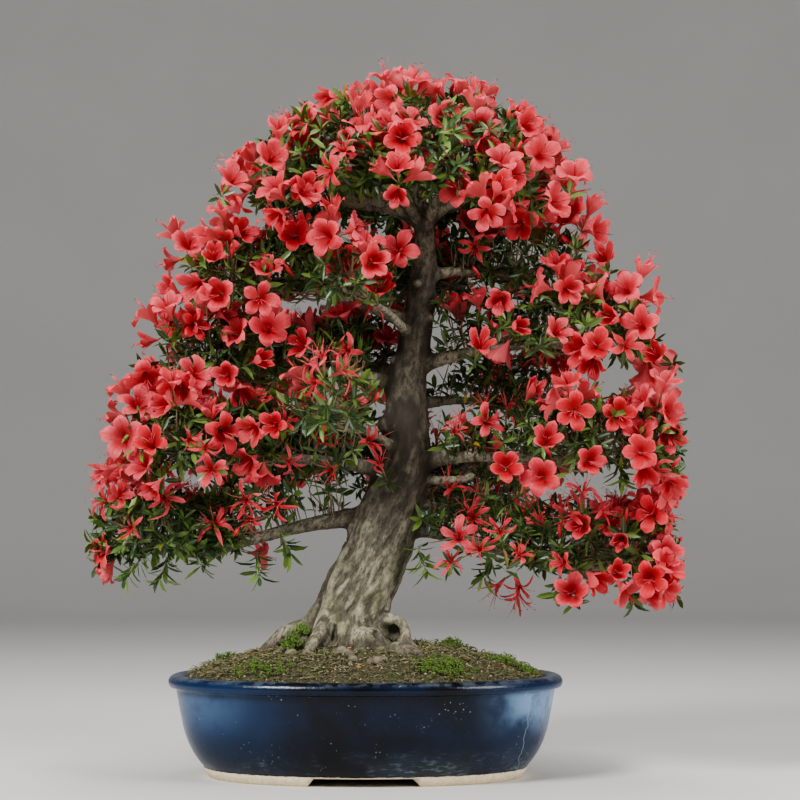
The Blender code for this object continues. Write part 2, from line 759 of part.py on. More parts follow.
def make_truss(name, pad, azimuth, elevation, kind, obstacles):
    """A truss: a stalk with a three-sided hub, one bloom straight out of it and one from each side."""
    base, normal = truss_site(pad, azimuth, elevation)
    turn = math.radians(azimuth * 3)
    corners = [turn + math.pi / 3 + 2 * math.pi * k / 3 for k in range(3)]
    shape = Shape()
    foot = shape.add(stalk_loop(base, normal, turn, 0.0, pad.lift + STALK_DEPTH))
    shoulder = shape.add(stalk_loop(base, normal, turn, 0.0, 2.5 * STALK_RADIUS))
    middle = shape.add(circle(base, normal, [(HUB_MIDDLE[0], angle, HUB_MIDDLE[1]) for angle in corners]))
    top = shape.add(circle(base, normal, [(HUB_TOP[0], angle, HUB_TOP[1]) for angle in corners]))
    shape.faces.append((foot[0], foot[2], foot[1]))
    shape.faces += [tuple(i + foot[0] for i in face) for face in loft([foot, shoulder, middle])]
    grown = grow_bloom(shape, top, base, normal, kind["centre_reach"], turn, kind, obstacles)
    right, over = across(normal)
    for k in range(TRUSS_RING):
        angle = turn + 2 * math.pi * k / TRUSS_RING
        lean = right * math.cos(angle) + over * math.sin(angle)
        axis = (normal * math.cos(TRUSS_TILT) + lean * math.sin(TRUSS_TILT)).normalized()
        low, high = (k + 2) % 3, k
        neck = [middle[low], middle[high], top[high], top[low]]
        grown += grow_bloom(shape, neck, base, axis, kind["reach"], turn + k, kind, obstacles)
    hole = Shape()
    bottom = hole.add(stalk_loop(base, normal, turn, 2 * GAP, pad.lift + STALK_DEPTH + GAP))
    mouth = hole.add(stalk_loop(base, normal, turn, 2 * GAP, 0.0))
    hole.faces = [tuple(face) for face in loft([bottom, mouth])]
    hole.faces += [(bottom[0], bottom[2], bottom[1]), (mouth[0], mouth[1], mouth[2])]
    return shape.make(name), hole.make("stalk_hole"), grown


def truss_site(pad, azimuth, elevation):
    point, normal = pad.place(math.radians(azimuth), math.radians(elevation))
    normal = (normal + Vector((0.0, 0.0, UPWARD))).normalized()
    return point + normal * pad.lift, normal


def leaf_rim(spin):
    """Each leaf gives the notch beside it and its tip."""
    rim = []
    for leaf in range(LEAVES):
        middle = spin + 2 * math.pi * leaf / LEAVES
        rim.append((LEAF_LENGTH * LEAF_NOTCH, middle - math.pi / LEAVES, 0.0))
        rim.append((LEAF_LENGTH, middle, LEAF_RISE))
    return rim


def whorl_shape(point, axis, spin, height):
    """A shoot's tip: a thin stem sunk in the foliage, with its leaves round the top."""
    shape = Shape()
    stem = [(SHOOT_RADIUS, spin + 2 * math.pi * k / 3, height - 0.0025) for k in range(3)]
    root = shape.add([point - axis * SHOOT_DEPTH])[0]
    neck = shape.add(circle(point, axis, stem))
    loop = shape.add(circle(point + axis * height, axis, leaf_rim(spin)))
    bud = shape.add([point + axis * (height + 0.0025)])[0]
    shape.faces += [(root, neck[(k + 1) % 3], neck[k]) for k in range(3)]
    shape.bridge(neck, loop, point, axis)
    shape.fan(loop, bud)
    return shape


def add_whorls(core, pad, count, obstacles):
    """Whorls of leaves spread evenly over the core, none where it would meet another piece."""
    surface = tree_of(core)
    whorls = []
    for number in range(count * 9):
        if len(whorls) == count:
            break
        height = 1 - 1.5 * ((number * EVEN_STEPS[0]) % 1.0)
        azimuth = 2 * math.pi * ((number * EVEN_STEPS[1]) % 1.0)
        outside, normal = pad.place(azimuth, math.asin(height))
        point, _, _, _ = surface.find_nearest(outside)
        axis = (normal + Vector((0.0, 0.0, 0.15))).normalized()
        shape = whorl_shape(point, axis, azimuth, pad.shoot * (0.75 + 0.25 * (number % 3)))
        if meets(shape.points, shape.faces, [*obstacles, *map(tree_of, whorls)]):
            continue
        whorls.append(shape.make("whorl"))
    return combine(core, whorls, "UNION") if whorls else core


def finish_look(obj, slot):
    """Gives an object its finish, smooth where it is round and sharp at its edges."""
    obj.data.materials.clear()
    obj.data.materials.append(bpy.data.materials.get(slot) or make_material(slot))
    obj.data.shade_smooth()
    obj.data.set_sharp_from_angle(angle=math.radians(35))


def set_origin(obj, point):
    for vertex in obj.data.vertices:
        vertex.co -= point
    obj.location = point


def centre_on_base(objects):
    """Hangs every piece on one empty and moves it, so the bounding box stands centred on the origin."""
    corners = np.array([obj.location + vertex.co for obj in objects for vertex in obj.data.vertices])
    low, high = corners.min(axis=0), corners.max(axis=0)
    holder = bpy.data.objects.new("bonsai", None)
    bpy.context.scene.collection.objects.link(holder)
    for obj in objects:
        obj.parent = holder
    holder.location = (-(low[0] + high[0]) / 2, -(low[1] + high[1]) / 2, -low[2])


def main():
    clear_scene()
    pads = [Pad(name, row, PAD_AROUND, 3) for name, row in PADS.items()]
    crown = Pad("crown", CROWN, CROWN_AROUND, 5)
    clouds = {pad.name: pad for pad in [*pads, crown]}

    wood = make_wood("trunk_and_branches", pads, crown)
    clearance = make_wood("wood_clearance", pads, crown, GAP)
    clearance_tree = tree_of(clearance)

    cores = {}
    for pad in clouds.values():
        cutter = make_object("cutter", [v.co for v in clearance.data.vertices], [tuple(p.vertices) for p in clearance.data.polygons])
        cores[pad.name] = combine(pad.make_core(), [cutter], "DIFFERENCE")
        drop_scraps(cores[pad.name])

    trusses = {}
    truss_trees = []
    core_trees = {name: tree_of(core) for name, core in cores.items()}
    for pad_name, sites in TRUSSES.items():
        holes = []
        for number, (azimuth, elevation, kind) in enumerate(sites, 1):
            name = f"blooms_{pad_name}_{number}" if len(sites) > 1 else f"blooms_{pad_name}"
            obstacles = [clearance_tree, *truss_trees, *core_trees.values()]
            look = FULL if kind == "full" else STRAP
            truss, hole, grown = make_truss(name, clouds[pad_name], azimuth, elevation, look, obstacles)
            trusses[name] = truss
            truss_trees.append(tree_of(truss))
            holes.append(hole)
            set_origin(truss, truss_site(clouds[pad_name], azimuth, elevation)[0])
        combine(cores[pad_name], holes, "DIFFERENCE")

    others = {name: tree_of(core) for name, core in cores.items()}
    for name, pad in clouds.items():
        near = [tree for other, tree in others.items() if other != name]
        count = CROWN_WHORLS if name == "crown" else PAD_WHORLS
        add_whorls(cores[name], pad, count, [clearance_tree, *truss_trees, *near])
        others[name] = tree_of(cores[name])

    pot = make_pot()
    meshes = [
        make_drainage_mesh("drainage_mesh_left", -DRAIN_OFFSET),
        make_drainage_mesh("drainage_mesh_right", DRAIN_OFFSET),
    ]
    soil = make_soil(clearance)

    finish_look(pot, "glaze")
    finish_look(soil, "soil")
    finish_look(wood, "bark")
    for sheet in meshes:
        finish_look(sheet, "mesh")
        set_origin(sheet, Vector((math.copysign(DRAIN_OFFSET, sheet.data.vertices[0].co.x), 0.0, FLOOR_TOP)))
    set_origin(wood, Vector(TRUNK[1][:3]))
    for name, core in cores.items():
        finish_look(core, "leaf")
        set_origin(core, clouds[name].centre)
    for truss in trusses.values():
        finish_look(truss, "petal")
    centre_on_base([pot, soil, wood, *meshes, *cores.values(), *trusses.values()])


main()
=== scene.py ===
"""The looks of a kinsai satsuki azalea bonsai in full bloom, planted in its oval glazed pot.

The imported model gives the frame. Every piece here is worked out with numpy in the same frame, and
sits where the solid that it stands for sits. All sizes are in metres.
"""

import logging
import math
from collections.abc import Sequence
from dataclasses import dataclass, field
from enum import Enum

import bpy
import numpy as np
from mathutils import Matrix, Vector


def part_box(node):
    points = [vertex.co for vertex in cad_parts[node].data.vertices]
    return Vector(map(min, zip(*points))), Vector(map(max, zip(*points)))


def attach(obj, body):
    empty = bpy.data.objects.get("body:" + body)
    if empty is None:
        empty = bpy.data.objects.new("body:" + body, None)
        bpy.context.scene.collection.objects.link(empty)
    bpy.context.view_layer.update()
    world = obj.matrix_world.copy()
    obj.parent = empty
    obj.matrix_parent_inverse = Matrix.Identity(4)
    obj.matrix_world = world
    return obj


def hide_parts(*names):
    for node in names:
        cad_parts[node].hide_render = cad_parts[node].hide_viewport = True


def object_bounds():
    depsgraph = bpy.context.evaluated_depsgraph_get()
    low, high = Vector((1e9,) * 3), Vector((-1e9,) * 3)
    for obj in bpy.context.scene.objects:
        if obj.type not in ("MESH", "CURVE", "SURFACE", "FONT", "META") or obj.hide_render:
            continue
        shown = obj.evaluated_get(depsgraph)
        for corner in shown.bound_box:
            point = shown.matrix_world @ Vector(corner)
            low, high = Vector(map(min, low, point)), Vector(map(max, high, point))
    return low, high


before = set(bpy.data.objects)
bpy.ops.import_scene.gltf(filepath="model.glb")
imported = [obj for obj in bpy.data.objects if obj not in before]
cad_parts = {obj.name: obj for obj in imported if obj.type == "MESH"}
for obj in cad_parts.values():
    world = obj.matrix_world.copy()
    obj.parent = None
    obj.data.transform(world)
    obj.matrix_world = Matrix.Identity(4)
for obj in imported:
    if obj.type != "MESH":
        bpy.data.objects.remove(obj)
CAD_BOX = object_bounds()

log = logging.getLogger("azalea")
Array = np.ndarray
Colour = tuple[float, float, float, float]
Point = Sequence[float]
Socket = bpy.types.NodeSocket
Material = bpy.types.Material
Thing = bpy.types.Object
MM = 0.001
GOLDEN_ANGLE = 2.399963
BODY = "root"


def paint(red: int, green: int, blue: int) -> Colour:
    """A colour as it looks on screen, turned into linear light.

    Args:
        red: 0 to 255.
        green: 0 to 255.
        blue: 0 to 255.

    Returns:
        The linear colour with a full alpha.
    """
    parts = np.array([red, green, blue]) / 255
    linear = np.where(parts <= 0.04045, parts / 12.92, ((parts + 0.055) / 1.055) ** 2.4)
    return (*map(float, linear), 1.0)


def unit(vectors: Array) -> Array:
    """The same vectors at length one."""
    return vectors / np.maximum(np.linalg.norm(vectors, axis=-1, keepdims=True), 1e-12)


def smooth_step(low: float, high: float, value: Array) -> Array:
    """Goes from 0 at low to 1 at high, with level ends."""
    share = np.clip((value - low) / (high - low), 0, 1)
    return share * share * (3 - 2 * share)


def smooth_route(points: Sequence[Sequence[float]], count: int) -> Array:
    """Points evenly spread on a Catmull-Rom curve through the given ones.

    Args:
        points: rows that each hold any number of values.
        count: how many points to return.

    Returns:
        An array of count rows.
    """
    given = np.array(points, float)
    padded = np.vstack([2 * given[0] - given[1], given, 2 * given[-1] - given[-2]])
    places = np.linspace(0, len(given) - 1 - 1e-9, count)
    span = places.astype(int)
    t = (places - span)[:, None]
    a, b, c, d = (padded[span + k] for k in range(4))
    return 0.5 * (2 * b + (c - a) * t + (2 * a - 5 * b + 4 * c - d) * t**2 + (3 * b - a - 3 * c + d) * t**3)


def axes_across(directions: Array) -> tuple[Array, Array]:
    """Two unit vectors square to each direction and to each other.

    Args:
        directions: unit vectors in rows.

    Returns:
        The two sets of vectors, in rows.
    """
    steep = np.abs(directions[..., 2:3]) > 0.9
    helper = np.where(steep, [1.0, 0.0, 0.0], [0.0, 0.0, 1.0])
    first = unit(np.cross(directions, helper))
    return first, np.cross(directions, first)


@dataclass(frozen=True)
class Ripple:
    """A smooth seeded noise: sines that run in many directions, added up over a few halvings of size."""

    seed: int
    size: float
    octaves: int = 3
    waves: int = 7

    def at(self, points: Array) -> Array:
        """The noise at each point.

        Each octave is the mean of sines of the point's place along a random direction. Its size is
        half, and its height 0.55, of the octave before.

        Args:
            points: places in rows.

        Returns:
            One value a point, mostly between -1 and 1.
        """
        draw = np.random.default_rng(self.seed)
        total = np.zeros(len(points))
        for octave in range(self.octaves):
            ways = unit(draw.normal(size=(self.waves, points.shape[1])))
            phases = draw.uniform(0, 2 * math.pi, self.waves)
            pitch = 2 * math.pi * 2**octave / self.size
            waves = np.sin(points @ ways.T * pitch * draw.uniform(0.7, 1.3, self.waves) + phases)
            total += 0.55**octave * waves.mean(axis=1) * 2.0
        return total


def hold(mesh: bpy.types.Mesh, values: dict[str, Array]) -> None:
    """Keeps named numbers or vectors at the mesh's points.

    Args:
        mesh: the mesh.
        values: for each name one row a point.
    """
    for label, value in values.items():
        kind, key = ("FLOAT_VECTOR", "vector") if value.ndim == 2 else ("FLOAT", "value")
        layer = mesh.attributes.new(label, kind, "POINT")
        layer.data.foreach_set(key, value.astype(np.float32).ravel())


@dataclass
class Surface:
    """A mesh in the making: its points, its faces, and named values at each point."""

    points: Array
    faces: list[Array]
    values: dict[str, Array] = field(default_factory=dict)

    @staticmethod
    def join(parts: Sequence["Surface"]) -> "Surface":
        """All parts as one surface. Each part holds the same values.

        Args:
            parts: the surfaces to join.

        Returns:
            The joined surface.
        """
        faces = []
        start = 0
        for part in parts:
            faces += [block + start for block in part.faces]
            start += len(part.points)
        values = {name: np.concatenate([part.values[name] for part in parts]) for name in parts[0].values}
        return Surface(np.concatenate([part.points for part in parts]), faces, values)

    def triangles(self) -> int:
        """How many triangles the faces come to."""
        return sum(len(block) * (block.shape[1] - 2) for block in self.faces)

    def make(self, name: str, material: Material) -> Thing:
        """Puts the surface into a smooth-shaded mesh object.

        Args:
            name: the object's name.
            material: its only material.

        Returns:
            The object, linked to the scene.
        """
        mesh = bpy.data.meshes.new(name)
        corners = np.concatenate([block.ravel() for block in self.faces]).astype(np.int32)
        sizes = np.concatenate([np.full(len(block), block.shape[1]) for block in self.faces])
        starts = np.concatenate([[0], np.cumsum(sizes)[:-1]]).astype(np.int32)
        mesh.vertices.add(len(self.points))
        mesh.vertices.foreach_set("co", self.points.astype(np.float32).ravel())
        mesh.loops.add(len(corners))
        mesh.loops.foreach_set("vertex_index", corners)
        mesh.polygons.add(len(starts))
        mesh.polygons.foreach_set("loop_start", starts)
        mesh.polygons.foreach_set("use_smooth", np.ones(len(starts), bool))
        hold(mesh, self.values)
        mesh.update(calc_edges=True)
        mesh.validate()
        mesh.materials.append(material)
        made = bpy.data.objects.new(name, mesh)
        bpy.context.scene.collection.objects.link(made)
        return made


def grid_faces(rows: int, columns: int, closed: bool) -> Array:
    """The quads of a grid of points that runs row by row.

    Args:
        rows: how many rows of points.
        columns: how many points in a row.
        closed: joins each row's last point to its first.

    Returns:
        Four point numbers a quad.
    """
    across = columns if closed else columns - 1
    row, column = np.meshgrid(np.arange(rows - 1), np.arange(across), indexing="ij")
    beside = (column + 1) % columns
    here, above = row * columns, (row + 1) * columns
    quads = [here + column, here + beside, above + beside, above + column]
    return np.stack(quads, axis=-1).reshape(-1, 4)


def repeat_faces(faces: Array, count: int, step: int) -> Array:
    """The same faces for count copies whose points follow each other in blocks of step."""
    return (faces[None] + (np.arange(count) * step)[:, None, None]).reshape(-1, faces.shape[1])


def pole_faces(pole: int, first: int, columns: int, outward: bool) -> Array:
    """The triangles that close a ring of points with one point.

    Args:
        pole: the single point's number.
        first: the number of the ring's first point.
        columns: how many points the ring has.
        outward: False turns the triangles over.

    Returns:
        Three point numbers a triangle.
    """
    step = np.arange(columns)
    a, b = first + step, first + (step + 1) % columns
    return np.stack([np.full(columns, pole), a, b] if outward else [np.full(columns, pole), b, a], axis=-1)


def revolve(rings: Array, low: Array, high: Array) -> Surface:
    """A closed skin over rings of points, with a pole at either end.

    Args:
        rings: points as (ring, column, 3), each ring running the same way round.
        low: the pole before the first ring.
        high: the pole after the last.

    Returns:
        The surface, whose faces point out where the rings run anticlockwise seen from the high end.
    """
    count, columns = rings.shape[:2]
    points = np.concatenate([rings.reshape(-1, 3), low[None], high[None]])
    last = count * columns
    faces = [
        grid_faces(count, columns, True),
        pole_faces(last, 0, columns, False),
        pole_faces(last + 1, last - columns, columns, True),
    ]
    return Surface(points, faces)


def sweep(routes: Array, radii: Array, sides: int) -> Surface:
    """Closed round tubes, all with the same number of points along them.

    The first and last points of a route are its poles. A ring of points stands square to the route at
    each point between, on two axes held as still as the route allows.

    Args:
        routes: (tube, step, 3).
        radii: (tube, step), not read at the poles.
        sides: how many sides a tube has.

    Returns:
        The tubes as one surface, with the share of the way along each as the value "along".
    """
    count, steps = routes.shape[:2]
    ahead = unit(np.gradient(routes, axis=1))
    first, _ = axes_across(unit(routes[:, -1] - routes[:, 0]))
    first = unit(first[:, None] - ahead * np.sum(first[:, None] * ahead, axis=-1, keepdims=True))
    second = np.cross(ahead, first)
    angles = 2 * math.pi * np.arange(sides) / sides
    spoke = first[:, :, None] * np.cos(angles)[:, None] + second[:, :, None] * np.sin(angles)[:, None]
    rings = (routes[:, :, None] + spoke * radii[:, :, None, None])[:, 1:-1]
    block = (steps - 2) * sides + 2
    points = np.concatenate([rings.reshape(count, -1, 3), routes[:, :1], routes[:, -1:]], axis=1)
    share = np.repeat(np.linspace(0, 1, steps)[1:-1], sides)
    along = np.tile(np.concatenate([share, [0.0, 1.0]]), count)
    quads = repeat_faces(grid_faces(steps - 2, sides, True), count, block)
    ends = [
        pole_faces(block - 2, 0, sides, False),
        pole_faces(block - 1, (steps - 3) * sides, sides, True),
    ]
    caps = repeat_faces(np.concatenate(ends), count, block)
    return Surface(points.reshape(-1, 3), [quads, caps], {"along": along})


def bend_between(starts: Array, ends: Array, rise: Array, steps: int, wiggle: float, seed: int) -> Array:
    """Curved routes from starts to ends.

    A route is the quadratic curve through a middle point lifted by rise, and leaves it by a random
    sideways wave that is nothing at either end.

    Args:
        starts: (route, 3).
        ends: (route, 3).
        rise: (route, 3), how far the middle control point is moved.
        steps: points a route.
        wiggle: the wave's height as a share of the route's length.
        seed: for the waves.

    Returns:
        The routes as (route, step, 3).
    """
    draw = np.random.default_rng(seed)
    share = np.linspace(0, 1, steps)[None, :, None]
    middle = (starts + ends) / 2 + rise
    routes = (
        starts[:, None] * (1 - share) ** 2
        + middle[:, None] * 2 * share * (1 - share)
        + ends[:, None] * share**2
    )
    length = np.linalg.norm(ends - starts, axis=1)[:, None, None]
    ways = draw.normal(size=(2, len(starts), 1, 3))
    turns = draw.uniform(1.5, 3.5, size=(len(starts), 1, 1))
    wave = ways[0] * np.sin(math.pi * share) + ways[1] * np.sin(math.pi * turns * share) * (1 - share)
    return routes + wave * wiggle * length * np.sin(math.pi * share)


class Recipe:
    """One material's nodes, put down and joined in a few words."""

    def __init__(self, name: str) -> None:
        """Starts an empty material.

        Args:
            name: the material's name.
        """
        self.material = bpy.data.materials.new(name)
        self.material.use_nodes = True
        self.tree = self.material.node_tree
        self.tree.nodes.clear()

    def node(self, kind: str, inputs: dict, **settings) -> bpy.types.Node:
        """Adds a node.

        Args:
            kind: the node's type without the word ShaderNode.
            inputs: for each input's name or number, a plain value or another node's output.
            settings: the node's own properties.

        Returns:
            The node.
        """
        made = self.tree.nodes.new(f"ShaderNode{kind}")
        for key, value in settings.items():
            setattr(made, key, value)
        for key, value in inputs.items():
            if isinstance(value, Socket):
                self.tree.links.new(value, made.inputs[key])
            else:
                made.inputs[key].default_value = value
        return made

    def place(self, scale: Sequence[float] = (1, 1, 1)) -> Socket:
        """The point's place in the object, stretched by scale along each axis."""
        here = self.node("TexCoord", {}).outputs["Object"]
        return self.node("Mapping", {"Vector": here, "Scale": scale}).outputs[0]

    def height(self) -> Socket:
        """The point's height."""
        here = self.node("TexCoord", {}).outputs["Object"]
        return self.node("SeparateXYZ", {0: here}).outputs["Z"]

    def held(self, name: str) -> Socket:
        """A number that the mesh holds at each point."""
        return self.node("Attribute", {}, attribute_name=name).outputs["Fac"]

    def held_vector(self, name: str) -> Socket:
        """A vector that the mesh holds at each point."""
        return self.node("Attribute", {}, attribute_name=name).outputs["Vector"]

    def noise(self, vector, scale: float, detail: float = 3, rough: float = 0.55) -> Socket:
        """Cloudy noise from 0 to 1."""
        inputs = {"Vector": vector, "Scale": scale, "Detail": detail, "Roughness": rough}
        return self.node("TexNoise", inputs).outputs[0]

    def cells(self, vector, scale: float) -> Socket:
        """The distance to the nearest of many scattered points."""
        return self.node("TexVoronoi", {"Vector": vector, "Scale": scale}).outputs["Distance"]

    def between(self, value, low: float, high: float) -> Socket:
        """0 where value is at or under low, 1 at or over high, smooth between. Low may be the larger."""
        inputs = {"Value": value, "From Min": low, "From Max": high}
        return self.node("MapRange", inputs, interpolation_type="SMOOTHSTEP").outputs[0]

    def cloudy(self, scale: float, detail: float = 3) -> Socket:
        """Cloudy noise over the object's own space."""
        return self.noise(self.place(), scale, detail)

    def calculate(self, kind: str, a, b=0.0) -> Socket:
        """Blender's operation of that kind on two numbers."""
        return self.node("Math", {0: a, 1: b}, operation=kind).outputs[0]

    def times(self, a, b) -> Socket:
        """The product."""
        return self.calculate("MULTIPLY", a, b)

    def plus(self, a, b) -> Socket:
        """The sum."""
        return self.calculate("ADD", a, b)

    def minus(self, a, b) -> Socket:
        """The difference."""
        return self.calculate("SUBTRACT", a, b)

    def larger(self, a, b) -> Socket:
        """The larger of two numbers."""
        return self.calculate("MAXIMUM", a, b)

    def absolute(self, a) -> Socket:
        """The number without its sign."""
        return self.calculate("ABSOLUTE", a)

    def mix(self, share, under, over) -> Socket:
        """Colour under, covered by colour over as far as share says."""
        inputs = {"Factor": share, "A": under, "B": over}
        made = self.node("Mix", {}, data_type="RGBA")
        sockets = {"Factor": made.inputs[0], "A": made.inputs[6], "B": made.inputs[7]}
        for key, value in inputs.items():
            if isinstance(value, Socket):
                self.tree.links.new(value, sockets[key])
            else:
                sockets[key].default_value = value
        return made.outputs[2]

    def ramp(self, value, stops: Sequence[tuple[float, Colour]]) -> Socket:
        """A colour read from a row of stops by a number.

        Args:
            value: the number.
            stops: (place, colour) in rising order.

        Returns:
            The colour.
        """
        made = self.node("ValToRGB", {0: value})
        row = made.color_ramp.elements
        while len(row) < len(stops):
            row.new(0.5)
        for element, (place, colour) in zip(row, stops):
            element.position = place
            element.color = colour
        return made.outputs[0]

    def bump(self, height, distance: float, strength: float = 1.0) -> Socket:
        """A normal for relief of that height, from 0 to distance."""
        inputs = {"Height": height, "Distance": distance, "Strength": strength}
        return self.node("Bump", inputs).outputs[0]

    def shader(self, inputs: dict) -> bpy.types.Node:
        """A Principled shader with those inputs."""
        return self.node("BsdfPrincipled", inputs)

    def finish(self, surface: bpy.types.Node, through=None, share: float = 0.0) -> Material:
        """Joins the shader to the output.

        Args:
            surface: the shader.
            through: the colour of the light that a thin sheet lets through, if it lets any.
            share: how much of the light goes through.

        Returns:
            The finished material.
        """
        shown = surface.outputs[0]
        if through is not None:
            glow = self.node("BsdfTranslucent", {"Color": through}).outputs[0]
            shown = self.node("MixShader", {0: share, 1: shown, 2: glow}).outputs[0]
        self.node("OutputMaterial", {"Surface": shown})
        return self.material


@dataclass(frozen=True)
class GlazedClay:
    """Navy glaze over pale clay, bluer at the pot's ends from thinner glaze and painted light, with a
    painted sheen on the right end, a greyer lip that is partly a painted highlight, chalky scale low down
    and a few specks.
    """

    deep: Colour = paint(4, 8, 15)
    blue: Colour = paint(12, 23, 44)
    # Lighter blue of thinner glaze and of painted light at the pot's ends.
    thin_and_lit_blue: Colour = paint(34, 70, 116)
    # Grey of thin glaze on the lip, which also stands in for a painted highlight there.
    thin: Colour = paint(92, 104, 116)
    chalk: Colour = paint(150, 166, 180)
    # The pale blue of the painted sheen.
    haze: Colour = paint(136, 168, 202)
    clay: Colour = paint(226, 212, 184)
    glaze_line: float = 10.6 * MM
    crack_side: float = 0.157

    def material(self) -> Material:
        """Glaze, darkest in the middle and lighter at the ends by painted light, with a painted sheen and a
        painted highlight on the lip, over a ragged bare edge, with a hairline crack on the right.
        """
        kit = Recipe("glazed_clay")
        spot = kit.node("SeparateXYZ", {0: kit.place()})
        side, front, height = (spot.outputs[k] for k in range(3))
        clouds = kit.cloudy(13, 4)
        colour = kit.mix(kit.between(clouds, 0.38, 0.66), self.deep, self.blue)
        # Lighter blue towards the ends, most of all round the belly: partly thinner glaze, partly painted
        # light on the curved ends.
        ends = kit.between(kit.absolute(side), 0.06, 0.22)
        belly = kit.between(height, 0.026, 0.075)
        belly = kit.times(belly, kit.between(height, 0.112, 0.100))
        glow = kit.times(ends, kit.plus(kit.times(belly, 0.36), 0.24))
        colour = kit.mix(glow, colour, self.thin_and_lit_blue)
        # Painted sheen: a soft pale highlight on the right end below the lip, and a weak one on the left.
        right = kit.times(kit.between(side, 0.095, 0.178), 0.80)
        left = kit.times(kit.between(side, -0.125, -0.195), 0.16)
        painted_sheen = kit.times(kit.plus(right, left), kit.between(height, 0.044, 0.088))
        painted_sheen = kit.times(painted_sheen, kit.between(height, 0.104, 0.098))
        painted_sheen = kit.times(painted_sheen, kit.between(kit.cloudy(22, 5), 0.30, 0.62))
        colour = kit.mix(painted_sheen, colour, self.haze)
        # Greyer patches along the top of the lip: partly thin glaze, partly a painted highlight.
        lip = kit.between(height, 0.1085, 0.1125)
        thin_glaze_and_highlight = kit.times(lip, kit.between(kit.cloudy(70, 4), 0.42, 0.62))
        colour = kit.mix(kit.times(thin_glaze_and_highlight, 0.45), colour, self.thin)
        chalky = kit.larger(self.scale(kit, height), self.specks(kit, height))
        chalky = kit.larger(chalky, self.crack(kit, side, front, height))
        colour = kit.mix(chalky, colour, self.chalk)
        ragged = kit.times(kit.minus(kit.cloudy(130, 3), 0.5), 0.0022)
        edge = kit.plus(height, ragged)
        bare = kit.between(edge, self.glaze_line + 0.0005, self.glaze_line - 0.0002)
        dusty = kit.cloudy(220, 4)
        clay = kit.ramp(dusty, [(0.3, paint(200, 184, 154)), (0.7, self.clay)])
        colour = kit.mix(bare, colour, clay)
        gloss = kit.plus(kit.times(kit.cloudy(24, 4), 0.22), 0.12)
        rough = kit.larger(gloss, kit.times(chalky, 0.6))
        rough = kit.larger(rough, kit.times(bare, 0.85))
        fine = kit.times(kit.cloudy(340, 3), 0.3)
        relief = kit.bump(kit.plus(kit.cloudy(90, 2), fine), 0.0009, 0.5)
        look = {"Base Color": colour, "Roughness": rough, "Normal": relief, "Specular IOR Level": 0.32}
        return kit.finish(kit.shader(look))

    def scale(self, kit: Recipe, height: Socket) -> Socket:
        """How much scale there is: thin level streaks that thicken towards the foot."""
        low = kit.between(height, 0.046, 0.012)
        streaks = kit.between(kit.noise(kit.place((1, 1, 3.4)), 95, 6), 0.50, 0.76)
        haze = kit.between(kit.cloudy(16, 3), 0.40, 0.64)
        return kit.times(low, kit.times(kit.plus(streaks, 0.16), kit.times(haze, 0.46)))

    def specks(self, kit: Recipe, height: Socket) -> Socket:
        """Scattered pale specks, most of them under the lip."""
        under_lip = kit.times(kit.between(height, 0.078, 0.098), kit.between(height, 0.101, 0.099))
        dots = kit.between(kit.cells(kit.place(), 210), 0.22, 0.13)
        where = kit.between(kit.cloudy(40, 3), 0.54, 0.66)
        much = kit.plus(kit.times(under_lip, 0.9), 0.34)
        return kit.times(kit.times(dots, where), much)

    def crack(self, kit: Recipe, side, front, height) -> Socket:
        """One hairline crack that wanders down the front of the right end."""
        wander = kit.times(kit.minus(kit.noise(kit.place((0, 0, 1)), 55, 4), 0.5), 0.016)
        lean = kit.times(kit.minus(height, 0.06), 0.16)
        line = kit.minus(kit.minus(side, kit.plus(wander, lean)), self.crack_side)
        crack = kit.between(kit.absolute(line), 0.0007, 0.0002)
        crack = kit.times(crack, kit.between(front, -0.04, -0.06))
        return kit.times(kit.times(crack, kit.between(height, 0.099, 0.096)), 0.42)


@dataclass(frozen=True)
class Earth:
    """Olive-brown mossy mix."""

    dark: Colour = paint(28, 26, 17)
    light: Colour = paint(92, 86, 60)
    green: Colour = paint(62, 74, 34)

    def material(self) -> Material:
        """Fine pale grain over dark, with a green cast in patches."""
        kit = Recipe("earth")
        grain = kit.cloudy(420, 5)
        colour = kit.ramp(grain, [(0.34, self.dark), (0.62, self.light)])
        patches = kit.between(kit.cloudy(34, 4), 0.50, 0.66)
        colour = kit.mix(kit.times(patches, 0.55), colour, self.green)
        relief = kit.bump(kit.cloudy(300, 5), 0.004)
        return kit.finish(kit.shader({"Base Color": colour, "Roughness": 0.95, "Normal": relief}))


@dataclass(frozen=True)
class Strand:
    """Moss, litter, twigs and other fine growth, coloured from base to tip with a spread of tones."""

    name: str
    base: Colour
    tip: Colour
    other: Colour
    rough: float = 0.8
    through: float = 0.0

    def material(self) -> Material:
        """Base to tip by "along", and then towards the other colour by "tone"."""
        kit = Recipe(self.name)
        colour = kit.mix(kit.held("along"), self.base, self.tip)
        tone = kit.held("tone")
        patch = kit.times(kit.cloudy(300, 3), 0.5)
        share = kit.times(kit.plus(tone, patch), 0.66)
        colour = kit.mix(share, colour, self.other)
        made = kit.shader({"Base Color": colour, "Roughness": self.rough})
        return kit.finish(made, colour if self.through else None, self.through)


